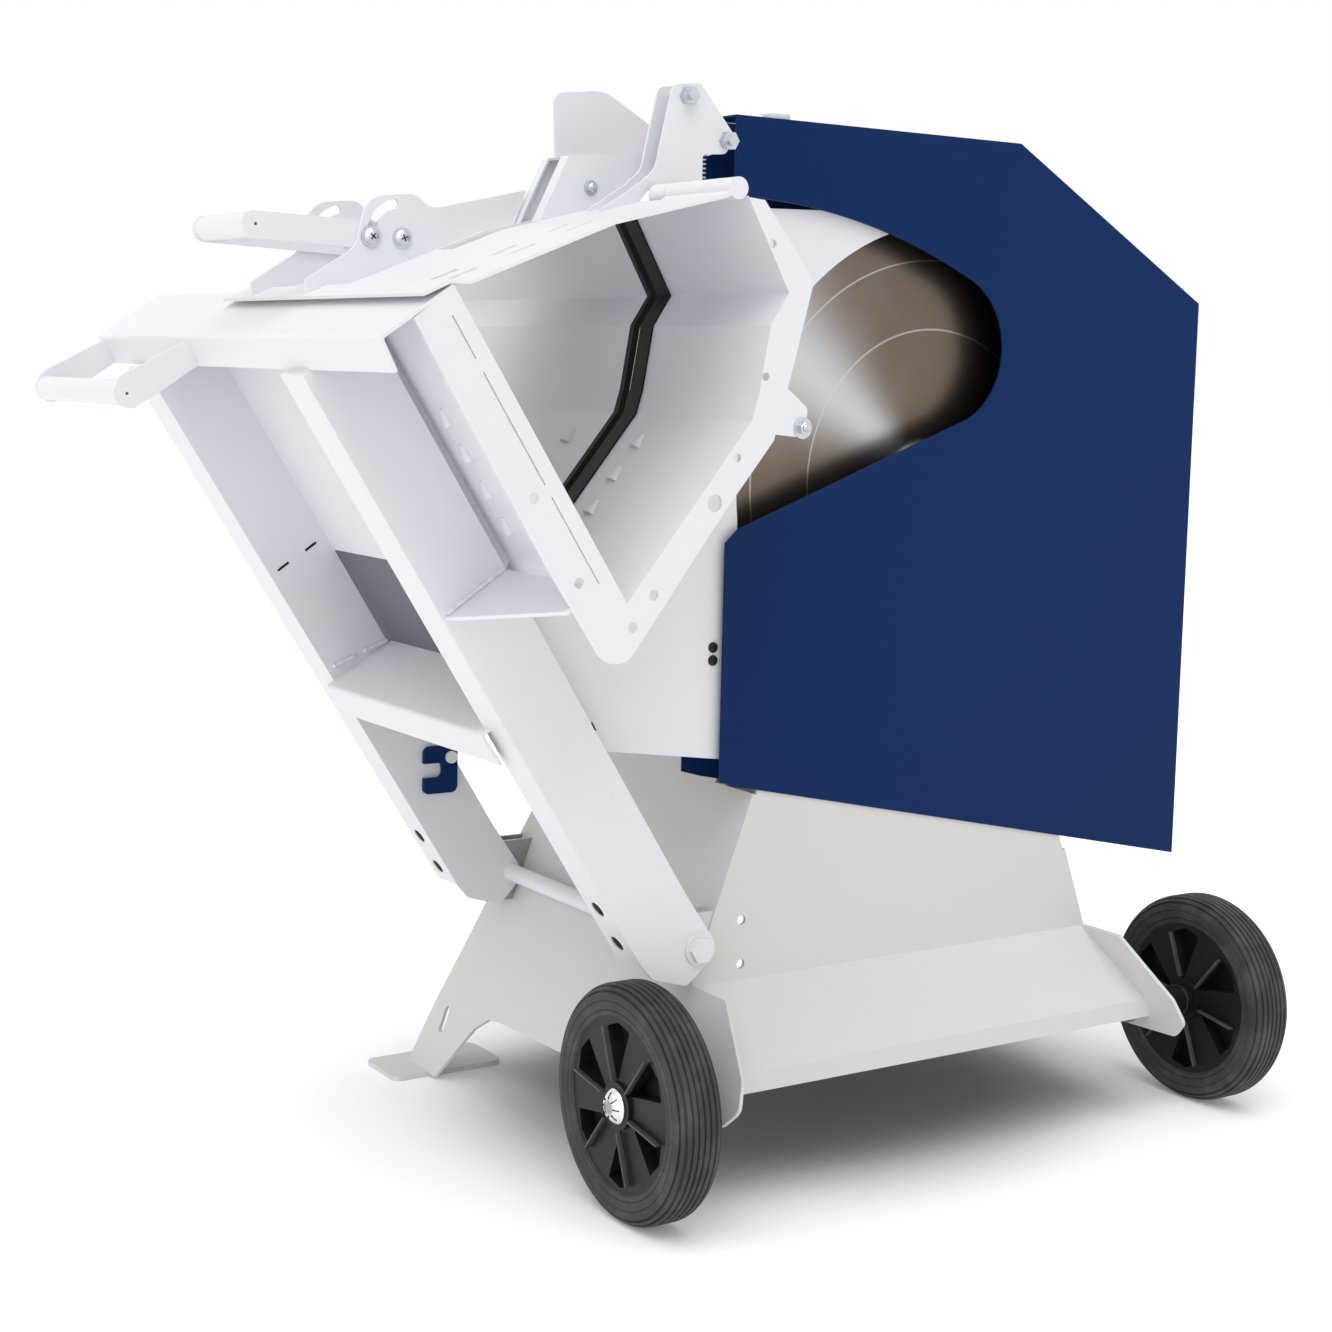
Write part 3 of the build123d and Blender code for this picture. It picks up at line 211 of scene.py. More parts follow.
def ground_disc_group():
    """Ground saw plate: fine rings, two rolled tension lines and a painted reflection, a bright fan over a
    darker painted shade.
    """
    inputs = (("Colour", "Color"), ("Shade", "Color"), ("Ring", "Color"), ("Gloss", "Float"), ("Fan", "Float"))
    tree, given, result = new_group("Ground disc", inputs, SURFACE)
    place = put(tree, "TexCoord").outputs["Object"]
    from_hub = put(tree, "VectorMath", {0: place, 1: BLADE}, operation="SUBTRACT").outputs[0]
    flat = put(tree, "VectorMath", {0: from_hub, 1: (1.0, 0.0, 1.0)}, operation="MULTIPLY").outputs[0]
    radius = put(tree, "VectorMath", {0: flat}, operation="LENGTH").outputs["Value"]
    ground = {"W": radius, "Scale": 900.0, "Detail": 3.0}
    rings = put(tree, "TexNoise", ground, noise_dimensions="1D").outputs[0]
    clouds = put(tree, "TexNoise", {"Vector": flat, "Scale": 9.0, "Detail": 3.0, "Roughness": 0.6}).outputs[0]
    apart = put(tree, "SeparateXYZ", {0: flat}).outputs
    # Painted reflection: a bright fan about the hub, mixed over the painted shade colour everywhere else
    angle = put(tree, "Math", {0: apart["Z"], 1: apart["X"]}, operation="ARCTAN2").outputs[0]
    turn = put(tree, "Math", {0: angle, 1: given["Fan"]}, operation="SUBTRACT").outputs[0]
    facing = put(tree, "Math", {0: turn}, operation="COSINE").outputs[0]
    either = put(tree, "Math", {0: facing}, operation="ABSOLUTE").outputs[0]
    painted_fan_core = put(tree, "Math", {0: either, 1: 26.0}, operation="POWER").outputs[0]
    painted_fan_mask = put(tree, "Math", {0: painted_fan_core, 1: spread(tree, clouds, -0.12, 0.12)}, use_clamp=True).outputs[0]
    mixed = put(
        tree, "Mix", {0: painted_fan_mask, 6: given["Shade"], 7: given["Colour"]}, data_type="RGBA"
    ).outputs[2]
    for ring_radius in TENSION_RINGS:
        near = put(tree, "Math", {0: radius, 1: ring_radius}, operation="SUBTRACT").outputs[0]
        off = put(tree, "Math", {0: near}, operation="ABSOLUTE").outputs[0]
        line = put(tree, "MapRange", {0: off, 1: 0.0005, 2: 0.0013, 3: 0.55, 4: 0.0}).outputs[0]
        mixed = put(tree, "Mix", {0: line, 6: mixed, 7: given["Ring"]}, data_type="RGBA").outputs[2]
    sheen = put(tree, "Math", {0: spread(tree, rings, -0.07, 0.07), 1: given["Gloss"]}).outputs[0]
    tree.links.new(mixed, result["Colour"])
    tree.links.new(sheen, result["Roughness"])
    tree.links.new(rings, result["Height"])
    return tree


GROUPS = {}
MATERIALS = {}


def surface(name, group, given, metal=0.0, depth=0.0002, strength=0.15, specular=0.5):
    """Material whose colour, roughness and relief come from one of the groups."""
    material = bpy.data.materials.new(name)
    material.use_nodes = True
    tree = material.node_tree
    shader = tree.nodes["Principled BSDF"]
    shader.inputs["Metallic"].default_value = metal
    shader.inputs["Specular IOR Level"].default_value = specular
    made = tree.nodes.new("ShaderNodeGroup")
    made.node_tree = GROUPS[group]
    for socket, value in given.items():
        made.inputs[socket].default_value = value
    bump = put(tree, "Bump", {"Height": made.outputs["Height"], "Strength": strength, "Distance": depth})
    tree.links.new(made.outputs["Colour"], shader.inputs["Base Color"])
    tree.links.new(made.outputs["Roughness"], shader.inputs["Roughness"])
    tree.links.new(bump.outputs[0], shader.inputs["Normal"])
    MATERIALS[name] = material
    return material


def opaque(colour):
    """Colour with its alpha."""
    return (*colour, 1.0)


# Mesh helpers


def turned(centre, axis, twist=0.0):
    """Place whose +Z runs along an axis."""
    aim = axis.to_track_quat("Z", "Y").to_matrix().to_4x4()
    return Matrix.Translation(centre) @ aim @ Matrix.Rotation(twist, 4, "Z")


def drum(bm, place, radius, start, end, segments=32, end_radius=None):
    """Closed round or many-sided bar along the place's +Z."""
    return bmesh.ops.create_cone(
        bm,
        cap_ends=True,
        segments=segments,
        radius1=radius,
        radius2=radius if end_radius is None else end_radius,
        depth=end - start,
        matrix=place @ Matrix.Translation((0, 0, (start + end) / 2)),
    )["verts"]


def brick(bm, place, size, centre=(0, 0, 0)):
    """Rectangular block about a point of the place."""
    scale = Matrix.Diagonal((*size, 1))
    return bmesh.ops.create_cube(bm, size=1, matrix=place @ Matrix.Translation(centre) @ scale)["verts"]


def lathe(bm, profile, place, steps=96):
    """Turn a line of (radius, height) points about the place's +Z."""
    spots = [bm.verts.new(place @ Vector((radius, 0, height))) for radius, height in profile]
    edges = [bm.edges.new(pair) for pair in zip(spots, spots[1:])]
    axis = place.to_3x3() @ UP
    made = bmesh.ops.spin(
        bm, geom=spots + edges, cent=place.translation, axis=axis, angle=math.tau, steps=steps, use_merge=True
    )
    return made["geom_last"]


def soften(bm, width, segments=2, angle=0.6):
    """Round the edges that turn sharply."""
    sharp = [e for e in bm.edges if len(e.link_faces) == 2 and e.calc_face_angle(0) > angle]
    bmesh.ops.bevel(
        bm,
        geom=sharp,
        offset=width,
        offset_type="OFFSET",
        segments=segments,
        profile=0.5,
        affect="EDGES",
        clamp_overlap=True,
        material=-1,
    )


def tint(bm, before, index):
    """Give the faces added since a count their material."""
    bm.faces.ensure_lookup_table()
    for face in bm.faces[before:]:
        face.material_index = index


def piece(bm, name, materials, body, stands_for=(), smooth=35):
    """Finished piece on its body."""
    bmesh.ops.remove_doubles(bm, verts=bm.verts, dist=1e-6)
    bmesh.ops.recalc_face_normals(bm, faces=bm.faces)
    mesh = bpy.data.meshes.new(name)
    bm.to_mesh(mesh)
    bm.free()
    for material in materials:
        mesh.materials.append(MATERIALS[material])
    mesh.shade_smooth()
    mesh.set_sharp_from_angle(angle=math.radians(smooth))
    made = bpy.data.objects.new(name, mesh)
    bpy.context.scene.collection.objects.link(made)
    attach(made, body)
    if stands_for:
        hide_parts(*stands_for)
    return made


# What a user would change


class SawFinish(PropertyGroup):
    """Colours of the machine."""

    rocker_white: FloatVectorProperty(
        name="Rocker white",
        description="Paint of the rocker and its lid",
        subtype="COLOR",
        default=(0.74, 0.75, 0.785),
    )
    base_grey: FloatVectorProperty(
        name="Base grey", description="Paint of the base", subtype="COLOR", default=(0.635, 0.62, 0.60)
    )
    guard_navy: FloatVectorProperty(
        name="Guard navy",
        description="Paint of the blade guard",
        subtype="COLOR",
        default=(0.0036, 0.0215, 0.094),
    )
    zinc: FloatVectorProperty(
        name="Zinc", description="Plating of the fasteners", subtype="COLOR", default=(0.50, 0.52, 0.55)
    )
    galvanised: FloatVectorProperty(
        name="Galvanised", description="Pivot brackets", subtype="COLOR", default=(0.33, 0.34, 0.36)
    )
    steel: FloatVectorProperty(
        name="Saw plate", description="Ground steel of the blade", subtype="COLOR", default=(0.56, 0.55, 0.56)
    )
    # Painted shade: the blade's darker colour away from its painted fan of reflection
    steel_shade: FloatVectorProperty(
        name="Saw plate shade",
        description="Blade away from its bright fan",
        subtype="COLOR",
        default=(0.165, 0.130, 0.100),
    )
    rubber: FloatVectorProperty(
        name="Rubber", description="Tyres", subtype="COLOR", default=(0.034, 0.034, 0.035)
    )
    plastic: FloatVectorProperty(
        name="Black plastic",
        description="Wheel hubs and covers",
        subtype="COLOR",
        default=(0.0065, 0.0062, 0.006),
    )


class SawSizes(PropertyGroup):
    """Sizes of the added detail."""

    tread_grooves: IntProperty(name="Tread grooves", description="Grooves around each tyre", default=9, min=1)
    groove_depth: FloatProperty(
        name="Groove depth", description="Depth of a tread groove", default=0.0022, unit="LENGTH"
    )
    shoulder: FloatProperty(
        name="Shoulder", description="Rounding of the tyres' shoulders", default=0.014, unit="LENGTH"
    )
    # Turn of the painted reflection's bright fan on the blade
    painted_fan_angle: FloatProperty(
        name="Fan angle", description="Where the blade shines", subtype="ANGLE", default=math.radians(145)
    )
    weld_radius: FloatProperty(
        name="Weld", description="Half width of a weld bead", default=0.003, unit="LENGTH"
    )
    tooth_length: FloatProperty(
        name="Trough tooth", description="Length of a punched tooth in the trough", default=0.017, unit="LENGTH"
    )


class SawStudio(PropertyGroup):
    """Camera and light."""

    lens: FloatProperty(name="Lens", description="Focal length in millimetres", default=60.4)
    camera: FloatVectorProperty(
        name="Camera",
        description="Camera from the floor point under the blade",
        subtype="TRANSLATION",
        default=(-1.5691, -1.8883, 0.8419),
        unit="LENGTH",
    )
    yaw: FloatProperty(
        name="Yaw", description="Turn of the view", subtype="ANGLE", default=math.radians(-33.29)
    )
    pitch: FloatProperty(
        name="Pitch", description="Fall of the view", subtype="ANGLE", default=math.radians(7.63)
    )
    roll: FloatProperty(
        name="Roll", description="Lean of the view", subtype="ANGLE", default=math.radians(-1.29)
    )
    centre_x: FloatProperty(name="Centre X", description="Pixel the lens points at", default=670.4)
    centre_y: FloatProperty(name="Centre Y", description="Pixel the lens points at", default=663.9)
    floor: FloatVectorProperty(name="Floor", description="Floor", subtype="COLOR", default=(0.94, 0.94, 0.945))
    # Painted shadow: how far the floor's colour is darkened under the base
    shade: FloatProperty(name="Floor shade", description="Darkening of the floor under the base", default=0.72)
    # Painted light: the floor's own glow away from the base
    glow: FloatProperty(
        name="Floor glow", description="Light of the floor itself, away from the base", default=0.2
    )
    sun: FloatProperty(name="Key", description="Strength of the overhead light", default=1.42)
    side: FloatProperty(name="Side", description="Strength of the light from the operator's side", default=1.08)
    sky: FloatProperty(name="Fill", description="Strength of the light from all around", default=0.52)


# Operators


class FIREWOODSAW_OT_finishes(Operator):
    """Make the finishes and put them on the solids"""

    bl_idname = "firewoodsaw.finishes"
    bl_label = "Finishes"

    def execute(self, context):
        finish = context.scene.saw_finish
        GROUPS["coat"] = powder_coat_group()
        GROUPS["metal"] = drawn_metal_group()
        GROUPS["moulding"] = bloomed_rubber_group()
        GROUPS["disc"] = ground_disc_group()
        for name, colour, gloss, specular in (
            ("rocker_white", finish.rocker_white, 0.42, 0.4),
            ("base_grey", finish.base_grey, 0.5, 0.4),
            ("guard_navy", finish.guard_navy, 0.45, 0.08),
            # Painted shade: dark grey for the brace seen through the window between the legs, where only shade
            # shows
            ("painted_shade_grey", (0.15, 0.155, 0.185), 0.6, 0.3),
            ("motor_grey", (0.16, 0.17, 0.18), 0.45, 0.5),
        ):
            given = {"Colour": opaque(colour), "Cloud": 0.06, "Gloss": gloss}
            surface(name, "coat", given, specular=specular)
        for name, colour, tinted, patch, gloss in (
            ("zinc", finish.zinc, (0.66, 0.70, 0.74), 160.0, 0.3),
            ("galvanised", finish.galvanised, (0.46, 0.47, 0.49), 90.0, 0.48),
            ("spring_wire", (0.42, 0.42, 0.43), (0.52, 0.52, 0.52), 60.0, 0.3),
            ("chrome", (0.80, 0.81, 0.82), (0.74, 0.74, 0.74), 60.0, 0.12),
            ("cast_iron", (0.17, 0.17, 0.175), (0.12, 0.12, 0.125), 120.0, 0.55),
            ("carbide", (0.36, 0.35, 0.33), (0.28, 0.27, 0.26), 200.0, 0.35),
        ):
            given = {"Colour": opaque(colour), "Tint": opaque(tinted), "Patch": patch, "Gloss": gloss}
            surface(name, "metal", given, metal=1.0, depth=0.00005)
        for name, colour, bloom, amount, gloss in (
            ("tyre_rubber", finish.rubber, (0.12, 0.115, 0.11), 0.55, 0.62),
            ("edging_rubber", (0.003, 0.0035, 0.004), (0.012, 0.012, 0.012), 0.3, 0.6),
            ("black_plastic", finish.plastic, (0.03, 0.03, 0.031), 0.3, 0.45),
            # Painted highlight: the hub's plastic made lighter, standing for the light on the ridges' edges
            ("painted_ridge_highlight", (0.06, 0.06, 0.058), (0.12, 0.12, 0.115), 0.4, 0.35),
            # Painted shade: near black for recesses, slits and holes, where shade falls
            ("painted_hollow_shade", (0.004, 0.004, 0.004), (0.01, 0.01, 0.01), 0.2, 0.8),
            ("green_button", (0.02, 0.25, 0.05), (0.03, 0.3, 0.07), 0.3, 0.25),
            ("red_button", (0.45, 0.012, 0.012), (0.5, 0.03, 0.03), 0.3, 0.25),
        ):
            given = {"Colour": opaque(colour), "Bloom": opaque(bloom), "Amount": amount, "Gloss": gloss}
            surface(name, "moulding", given, depth=0.0001, specular=0.3)
        # Blade: a painted reflection, the bright fan mixed over a painted dark shade
        steel = {
            "Colour": opaque(finish.steel),
            "Shade": opaque(finish.steel_shade),
            "Ring": (0.62, 0.60, 0.56, 1.0),
            "Gloss": 0.34,
            "Fan": context.scene.saw_sizes.painted_fan_angle,
        }
        surface("saw_plate", "disc", steel, metal=1.0, depth=0.00004)
        worn = {
            "rocker_white": "rocker_white",
            "brace_grey": "painted_shade_grey",
            "base_grey": "base_grey",
            "guard_navy": "guard_navy",
            "zinc_steel": "zinc",
            "galvanised": "galvanised",
            "blade_steel": "saw_plate",
            "spring_steel": "spring_wire",
            "cap_chrome": "chrome",
            "tyre_rubber": "tyre_rubber",
            "hub_plastic": "black_plastic",
            "edging_rubber": "edging_rubber",
            "pulley_iron": "cast_iron",
            "motor_paint": "motor_grey",
            "belt_rubber": "edging_rubber",
            "cover_plastic": "black_plastic",
            "start_green": "green_button",
            "stop_red": "red_button",
        }
        for part in frame["record"]["subparts"]:
            node = frame["nodes"][part["node"]]
            node.data.materials.clear()
            node.data.materials.append(MATERIALS[worn[part["material_slot"]]])
        return {"FINISHED"}


def tyre_profile(radius, bore, width, shoulder, grooves, depth):
    """Section of a solid tyre as (radius, height): ringed sidewalls, round shoulders and a grooved tread."""
    half = width / 2
    arc = shoulder * math.pi / 2
    whole = 2 * arc + width - 2 * shoulder

    def outside(run, sunk):
        """Point at a length along the tread, from the start of one shoulder to the end of the other."""
        near_edge = min(run, whole - run)
        toward = -1 if run < whole / 2 else 1
        if near_edge > arc:
            return (radius - sunk, toward * (half - shoulder - near_edge + arc))
        turn = near_edge / shoulder
        reach = shoulder - sunk
        return (radius - shoulder + reach * math.sin(turn), toward * (half - shoulder + reach * math.cos(turn)))

    side = [
        (bore, -half + 0.004),
        (bore + 0.002, -half + 0.0015),
        (bore + 0.006, -half + 0.001),
        (bore + 0.007, -half + 0.002),
        (bore + 0.008, -half + 0.0008),
        (radius - shoulder - 0.004, -half),
        (radius - shoulder - 0.003, -half + 0.0009),
        (radius - shoulder - 0.002, -half),
    ]
    step = whole / (grooves + 1)
    tread = []
    for i in range(grooves):
        spot = step * (i + 1)
        for shift, sunk in ((-step / 2, 0.0), (-0.0014, 0.0), (-0.0007, depth), (0.0007, depth), (0.0014, 0.0)):
            tread.append(outside(spot + shift, sunk))
    tread.append(outside(whole - step / 2, 0.0))
    other = [(r, -h) for r, h in reversed(side)]
    return side + tread + other + [side[0]]


class FIREWOODSAW_OT_wheels(Operator):
    """Ringed tyres with a grooved tread, ridges of the hubs, and what sits on the axles"""

    bl_idname = "firewoodsaw.wheels"
    bl_label = "Wheels"

    def execute(self, context):
        sizes = context.scene.saw_sizes
        for side, out in (("left", LEFT), ("right", RIGHT)):
            low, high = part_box(f"tyre_{side}")
            hub_low, hub_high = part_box(f"hub_{side}")
            centre = (low + high) / 2
            bm = bmesh.new()
            profile = tyre_profile(
                (high.z - low.z) / 2,
                (hub_high.z - hub_low.z) / 2,
                high.x - low.x,
                sizes.shoulder,
                sizes.tread_grooves,
                sizes.groove_depth,
            )
            lathe(bm, profile, turned(centre, RIGHT), steps=128)
            piece(bm, f"ribbed_tyre_{side}", ["tyre_rubber"], f"wheel_{side}", [f"tyre_{side}"])
            self.hub_ridges(side, hub_low, hub_high)
            self.star_cap(side, out)
        for side, plate in SLEEVE_ENDS:
            self.sleeve(side, at(plate, 0, 0).x)
        return {"FINISHED"}

    def hub_ridges(self, side, low, high):
        """Raised ridge along one edge of each pocket of a hub, on both of its faces, lighter than the hub as a
        painted highlight.
        """
        centre = (low + high) / 2
        bm = bmesh.new()
        for i in range(HUB_POCKETS):
            ends = []
            for radius, turn in RIDGE_ENDS:
                angle = math.radians(360 / HUB_POCKETS * i + turn)
                ends.append(centre + radius * Vector((0, math.sin(angle), math.cos(angle))))
            run = ends[1] - ends[0]
            length = run.length
            run.normalize()
            lay = Matrix((RIGHT, run.cross(RIGHT), run)).transposed().to_4x4()
            for face_x in (low.x, high.x):
                spot = (ends[0] + ends[1]) / 2
                spot.x = face_x
                brick(bm, Matrix.Translation(spot) @ lay, (0.006, 0.0024, length))
        soften(bm, 0.0008)
        piece(bm, f"hub_ridges_{side}", ["painted_ridge_highlight"], f"wheel_{side}")

    def sleeve(self, side, plate_x):
        """Black spacer on the axle between a side plate and its wheel."""
        low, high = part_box(f"tyre_{side}")
        centre = (low + high) / 2
        wheel_x = high.x + 0.001 if side == "left" else low.x - 0.001
        start, end = sorted((plate_x, wheel_x))
        bm = bmesh.new()
        profile = [
            (0.0153, start),
            (0.0170, start),
            (0.0178, start + 0.002),
            (0.0178, start + 0.008),
            (0.0168, start + 0.009),
            (0.0168, end - 0.009),
            (0.0178, end - 0.008),
            (0.0178, end - 0.002),
            (0.0170, end),
            (0.0153, end),
            (0.0153, start),
        ]
        lathe(bm, profile, turned(Vector((0, centre.y, centre.z)), RIGHT), steps=48)
        piece(bm, f"axle_sleeve_{side}", ["black_plastic"], "base")

    def star_cap(self, side, out):
        """Domed push-on washer with slits, over the axle's end; the slits are dark strips of painted shade."""
        low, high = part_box(f"cap_{side}")
        radius = (high.z - low.z) / 2
        thick = high.x - low.x
        inner_x = high.x if side == "left" else low.x
        centre = (low + high) / 2
        centre.x = inner_x
        place = turned(centre, out)
        bm = bmesh.new()
        bore = radius * 0.42
        profile = [
            (bore, 0.0),
            (radius * 0.99, 0.0),
            (radius, thick * 0.12),
            (radius * 0.93, thick * 0.3),
            (radius * 0.75, thick * 0.62),
            (radius * 0.6, thick * 0.8),
            (bore, thick * 0.86),
            (bore, 0.0),
        ]
        lathe(bm, profile, place, steps=64)
        before = len(bm.faces)
        for i in range(8):
            spoke = place @ Matrix.Rotation(math.tau * i / 8, 4, "Z")
            tilt = Matrix.Translation((radius * 0.66, 0, thick * 0.7)) @ Matrix.Rotation(0.55, 4, "Y")
            brick(bm, spoke @ tilt, (radius * 0.42, radius * 0.055, thick * 0.12))
        tint(bm, before, 1)
        before = len(bm.faces)
        drum(bm, place, bore * 0.98, 0.0, thick * 0.78, segments=24, end_radius=bore * 0.8)
        tint(bm, before, 2)
        layers = ["chrome", "painted_hollow_shade", "galvanised"]
        piece(bm, f"star_cap_{side}", layers, "base", [f"cap_{side}"])


def nut_and_bolt(bm, centre, axis, across, washer=True, twist=0.2):
    """Nut on a thread's end, with its washer."""
    place = turned(centre, axis, twist)
    rise = across * 0.12 if washer else 0.0
    if washer:
        drum(bm, place, across * 0.92, 0.0, rise, segments=32)
    reach = across / math.sqrt(3)
    drum(bm, place, reach, rise, rise + across * 0.42, segments=6)
    start = rise + across * 0.5
    drum(bm, place, reach * 0.93, rise + across * 0.42, start, segments=6, end_radius=reach * 0.74)
    for i in range(3):
        low = start + i * across * 0.07
        drum(bm, place, across * 0.3, low, low + across * 0.05, segments=20, end_radius=across * 0.27)
    drum(bm, place, across * 0.265, start, start + across * 0.26, segments=20, end_radius=across * 0.22)


def cross_screw(bm, centre, axis, radius, twist=0.4):
    """Domed screw head with a cross recess, on a washer; the recess faces take the second material, near black
    as painted shade.
    """
    place = turned(centre, axis, twist)
    drum(bm, place, radius * 1.32, 0.0, radius * 0.16, segments=36)
    base = radius * 0.16
    profile = [
        (0.0, base + radius * 0.58),
        (radius * 0.45, base + radius * 0.52),
        (radius * 0.8, base + radius * 0.34),
        (radius, base + radius * 0.12),
        (radius, base),
    ]
    lathe(bm, profile, place, steps=32)
    before = len(bm.faces)
    for i in range(2):
        slit = place @ Matrix.Rotation(math.pi / 2 * i, 4, "Z")
        brick(bm, slit, (radius * 0.9, radius * 0.16, radius * 0.12), (0, 0, base + radius * 0.53))
    tint(bm, before, 1)


class FIREWOODSAW_OT_fasteners(Operator):
    """Nuts, screws and plugs"""

    bl_idname = "firewoodsaw.fasteners"
    bl_label = "Fasteners"

    def execute(self, context):
        self.rocker()
        self.lid()
        self.drive()
        return {"FINISHED"}

    def rocker(self):
        """Nut of the end plate, plugs of the shield and of the holes in the legs; the leg plugs are near black
        as painted shade in the holes.
        """
        bm = bmesh.new()
        nut_and_bolt(bm, on_face(*END_PLATE_NUT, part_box("end_plate_near")[0].y), TOWARDS, 0.011)
        piece(bm, "end_plate_nut", ["zinc"], "rocker")
        shield_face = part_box("blade_shield")[0].y
        for i, (x, z) in enumerate(SHIELD_PLUGS):
            bm = bmesh.new()
            drum(bm, turned(on_face(x, z, shield_face), TOWARDS), 0.0055, 0, 0.0015, 24)
            soften(bm, 0.0005)
            piece(bm, f"shield_plug_{i}", ["black_plastic"], "rocker")
        out = Vector((-1, 0, -LEG_LEAN)).normalized()
        for side in ("near", "far"):
            flange_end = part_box(f"leg_{side}")[1].y
            bm = bmesh.new()
            for x, z in LEG_PLUGS:
                plug = turned(on_face(x, z, flange_end - LEG_PLUG_INSET * MM), out)
                drum(bm, plug, 0.0089, -0.0036, -0.0012, 32)
                drum(bm, plug, 0.0070, -0.0012, -0.0008, 32, end_radius=0.0064)
            piece(bm, f"leg_plugs_{side}", ["painted_hollow_shade"], "rocker")

    def lid(self):
        """Nut of the hood, and the screws that carry and clamp the upper handle."""
        bm = bmesh.new()
        nut_and_bolt(bm, on_face(*HOOD_NUT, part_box("hood")[0].y), TOWARDS, 0.008)
        piece(bm, "hood_nut", ["zinc"], "lid_body")
        for end, face, out, clear in EARS:
            bm = bmesh.new()
            cross_screw(bm, at(EAR_PIVOT[0], face, EAR_PIVOT[1]), out, 0.0075)
            piece(bm, f"ear_pivot_screw_{end}", ["zinc", "painted_hollow_shade"], "lid_body")
            bm = bmesh.new()
            cross_screw(bm, at(EAR_CLAMP[0], face + clear, EAR_CLAMP[1]), out, 0.0075, twist=0.9)
            piece(bm, f"ear_clamp_screw_{end}", ["zinc", "painted_hollow_shade"], "lid_grip")

    def drive(self):
        """Bolts of the bearing stand and screws of the belt cover and the switch box."""
        low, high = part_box("bearing_stand")
        deck_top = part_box("deck")[1].z
        bm = bmesh.new()
        for x in (low.x + 0.012, high.x - 0.012):
            for y in (low.y + 0.016, high.y - 0.016):
                nut_and_bolt(bm, Vector((x, y, deck_top + 0.010)), UP, 0.013, twist=x * 40)
        piece(bm, "stand_bolts", ["zinc"], "base")
        for node, count, edge in (("belt_cover", 4, 0.011), ("switch_box", 2, 0.008)):
            low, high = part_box(node)
            top = high.z - (0.085 if node == "belt_cover" else edge)
            bm = bmesh.new()
            for x in (low.x + edge, high.x - edge):
                for i in range(count):
                    z = low.z + edge + (top - low.z - edge) * i / (count - 1)
                    cross_screw(bm, Vector((x, high.y, z)), ALONG, 0.0042, twist=z * 30)
            piece(bm, f"{node}_screws", ["zinc", "painted_hollow_shade"], "base")


def tooth(bm, centre, rise, out, length, width, height):
    """Punched tooth that stands out of a wall and narrows along its rise."""
    side = rise.cross(out)
    frame_of = Matrix((side, out, rise)).transposed().to_4x4()
    flatten = Matrix.Diagonal((1.0, 2 * height / width, 1.0, 1.0))
    place = Matrix.Translation(centre) @ frame_of @ flatten
    drum(bm, place, width / 2, -length / 2, length / 2, 20, width * 0.16)


def bead(bm, start, end, radius):
    """Weld bead of overlapping drops."""
    run = end - start
    count = max(2, int(run.length / (radius * 1.1)))
    for i in range(count + 1):
        spot = start + run * (i / count)
        drop = Matrix.Translation(spot) @ Matrix.Diagonal((1.0, 0.7, 0.8, 1.0))
        uneven = radius * (1.0 + 0.12 * math.sin(i * 1.7))
        bmesh.ops.create_icosphere(bm, subdivisions=2, radius=uneven, matrix=drop)


def slit(bm, centre, lean, length, width):
    """Slit on a face that looks towards the operator's left, drawn as a thin strip whose dark colour is painted
    shade.
    """
    place = Matrix.Translation(centre) @ Matrix.Rotation(-lean, 4, "Y")
    brick(bm, place, (length, 0.0006, width))


class FIREWOODSAW_OT_sheetwork(Operator):
    """Punched teeth of the trough, slits of the legs, welds and the guard's tab"""

    bl_idname = "firewoodsaw.sheetwork"
    bl_label = "Sheet work"

    def execute(self, context):
        sizes = context.scene.saw_sizes
        bottom = at(*TROUGH_BOTTOM)
        for name, rise, out, stand, depths, heights in TROUGH_WALLS:
            rise = Vector(rise).normalized()
            out = Vector(out).normalized()
            bm = bmesh.new()
            for depth in depths:
                for height in heights:
                    spot = bottom + rise * (height * MM) + ALONG * (depth * MM) + out * (stand * MM)
                    tooth(bm, spot, rise, out, sizes.tooth_length, 0.0165, 0.0058)
            soften(bm, 0.0006)
            piece(bm, f"trough_teeth_{name}", ["rocker_white"], "rocker", smooth=50)
        bm = bmesh.new()
        # Painted shade: thin dark strips; the one on the near leg runs along the leg and paints the shadow line
        # of the gap at its edge
        for centre, lean, length, width in LEG_SLITS:
            slit(bm, at(*centre), lean, length, width)
        piece(bm, "leg_slits", ["painted_hollow_shade"], "rocker")
        bm = bmesh.new()
        for start, end in WELDS:
            bead(bm, at(*start), at(*end), sizes.weld_radius)
        piece(bm, "rocker_welds", ["rocker_white"], "rocker")
        bm = bmesh.new()
        brick(bm, Matrix.Translation(at(*GUARD_TAB)), GUARD_TAB_SIZE)
        soften(bm, 0.0015)
        piece(bm, "guard_tab", ["rocker_white"], "base")
        return {"FINISHED"}


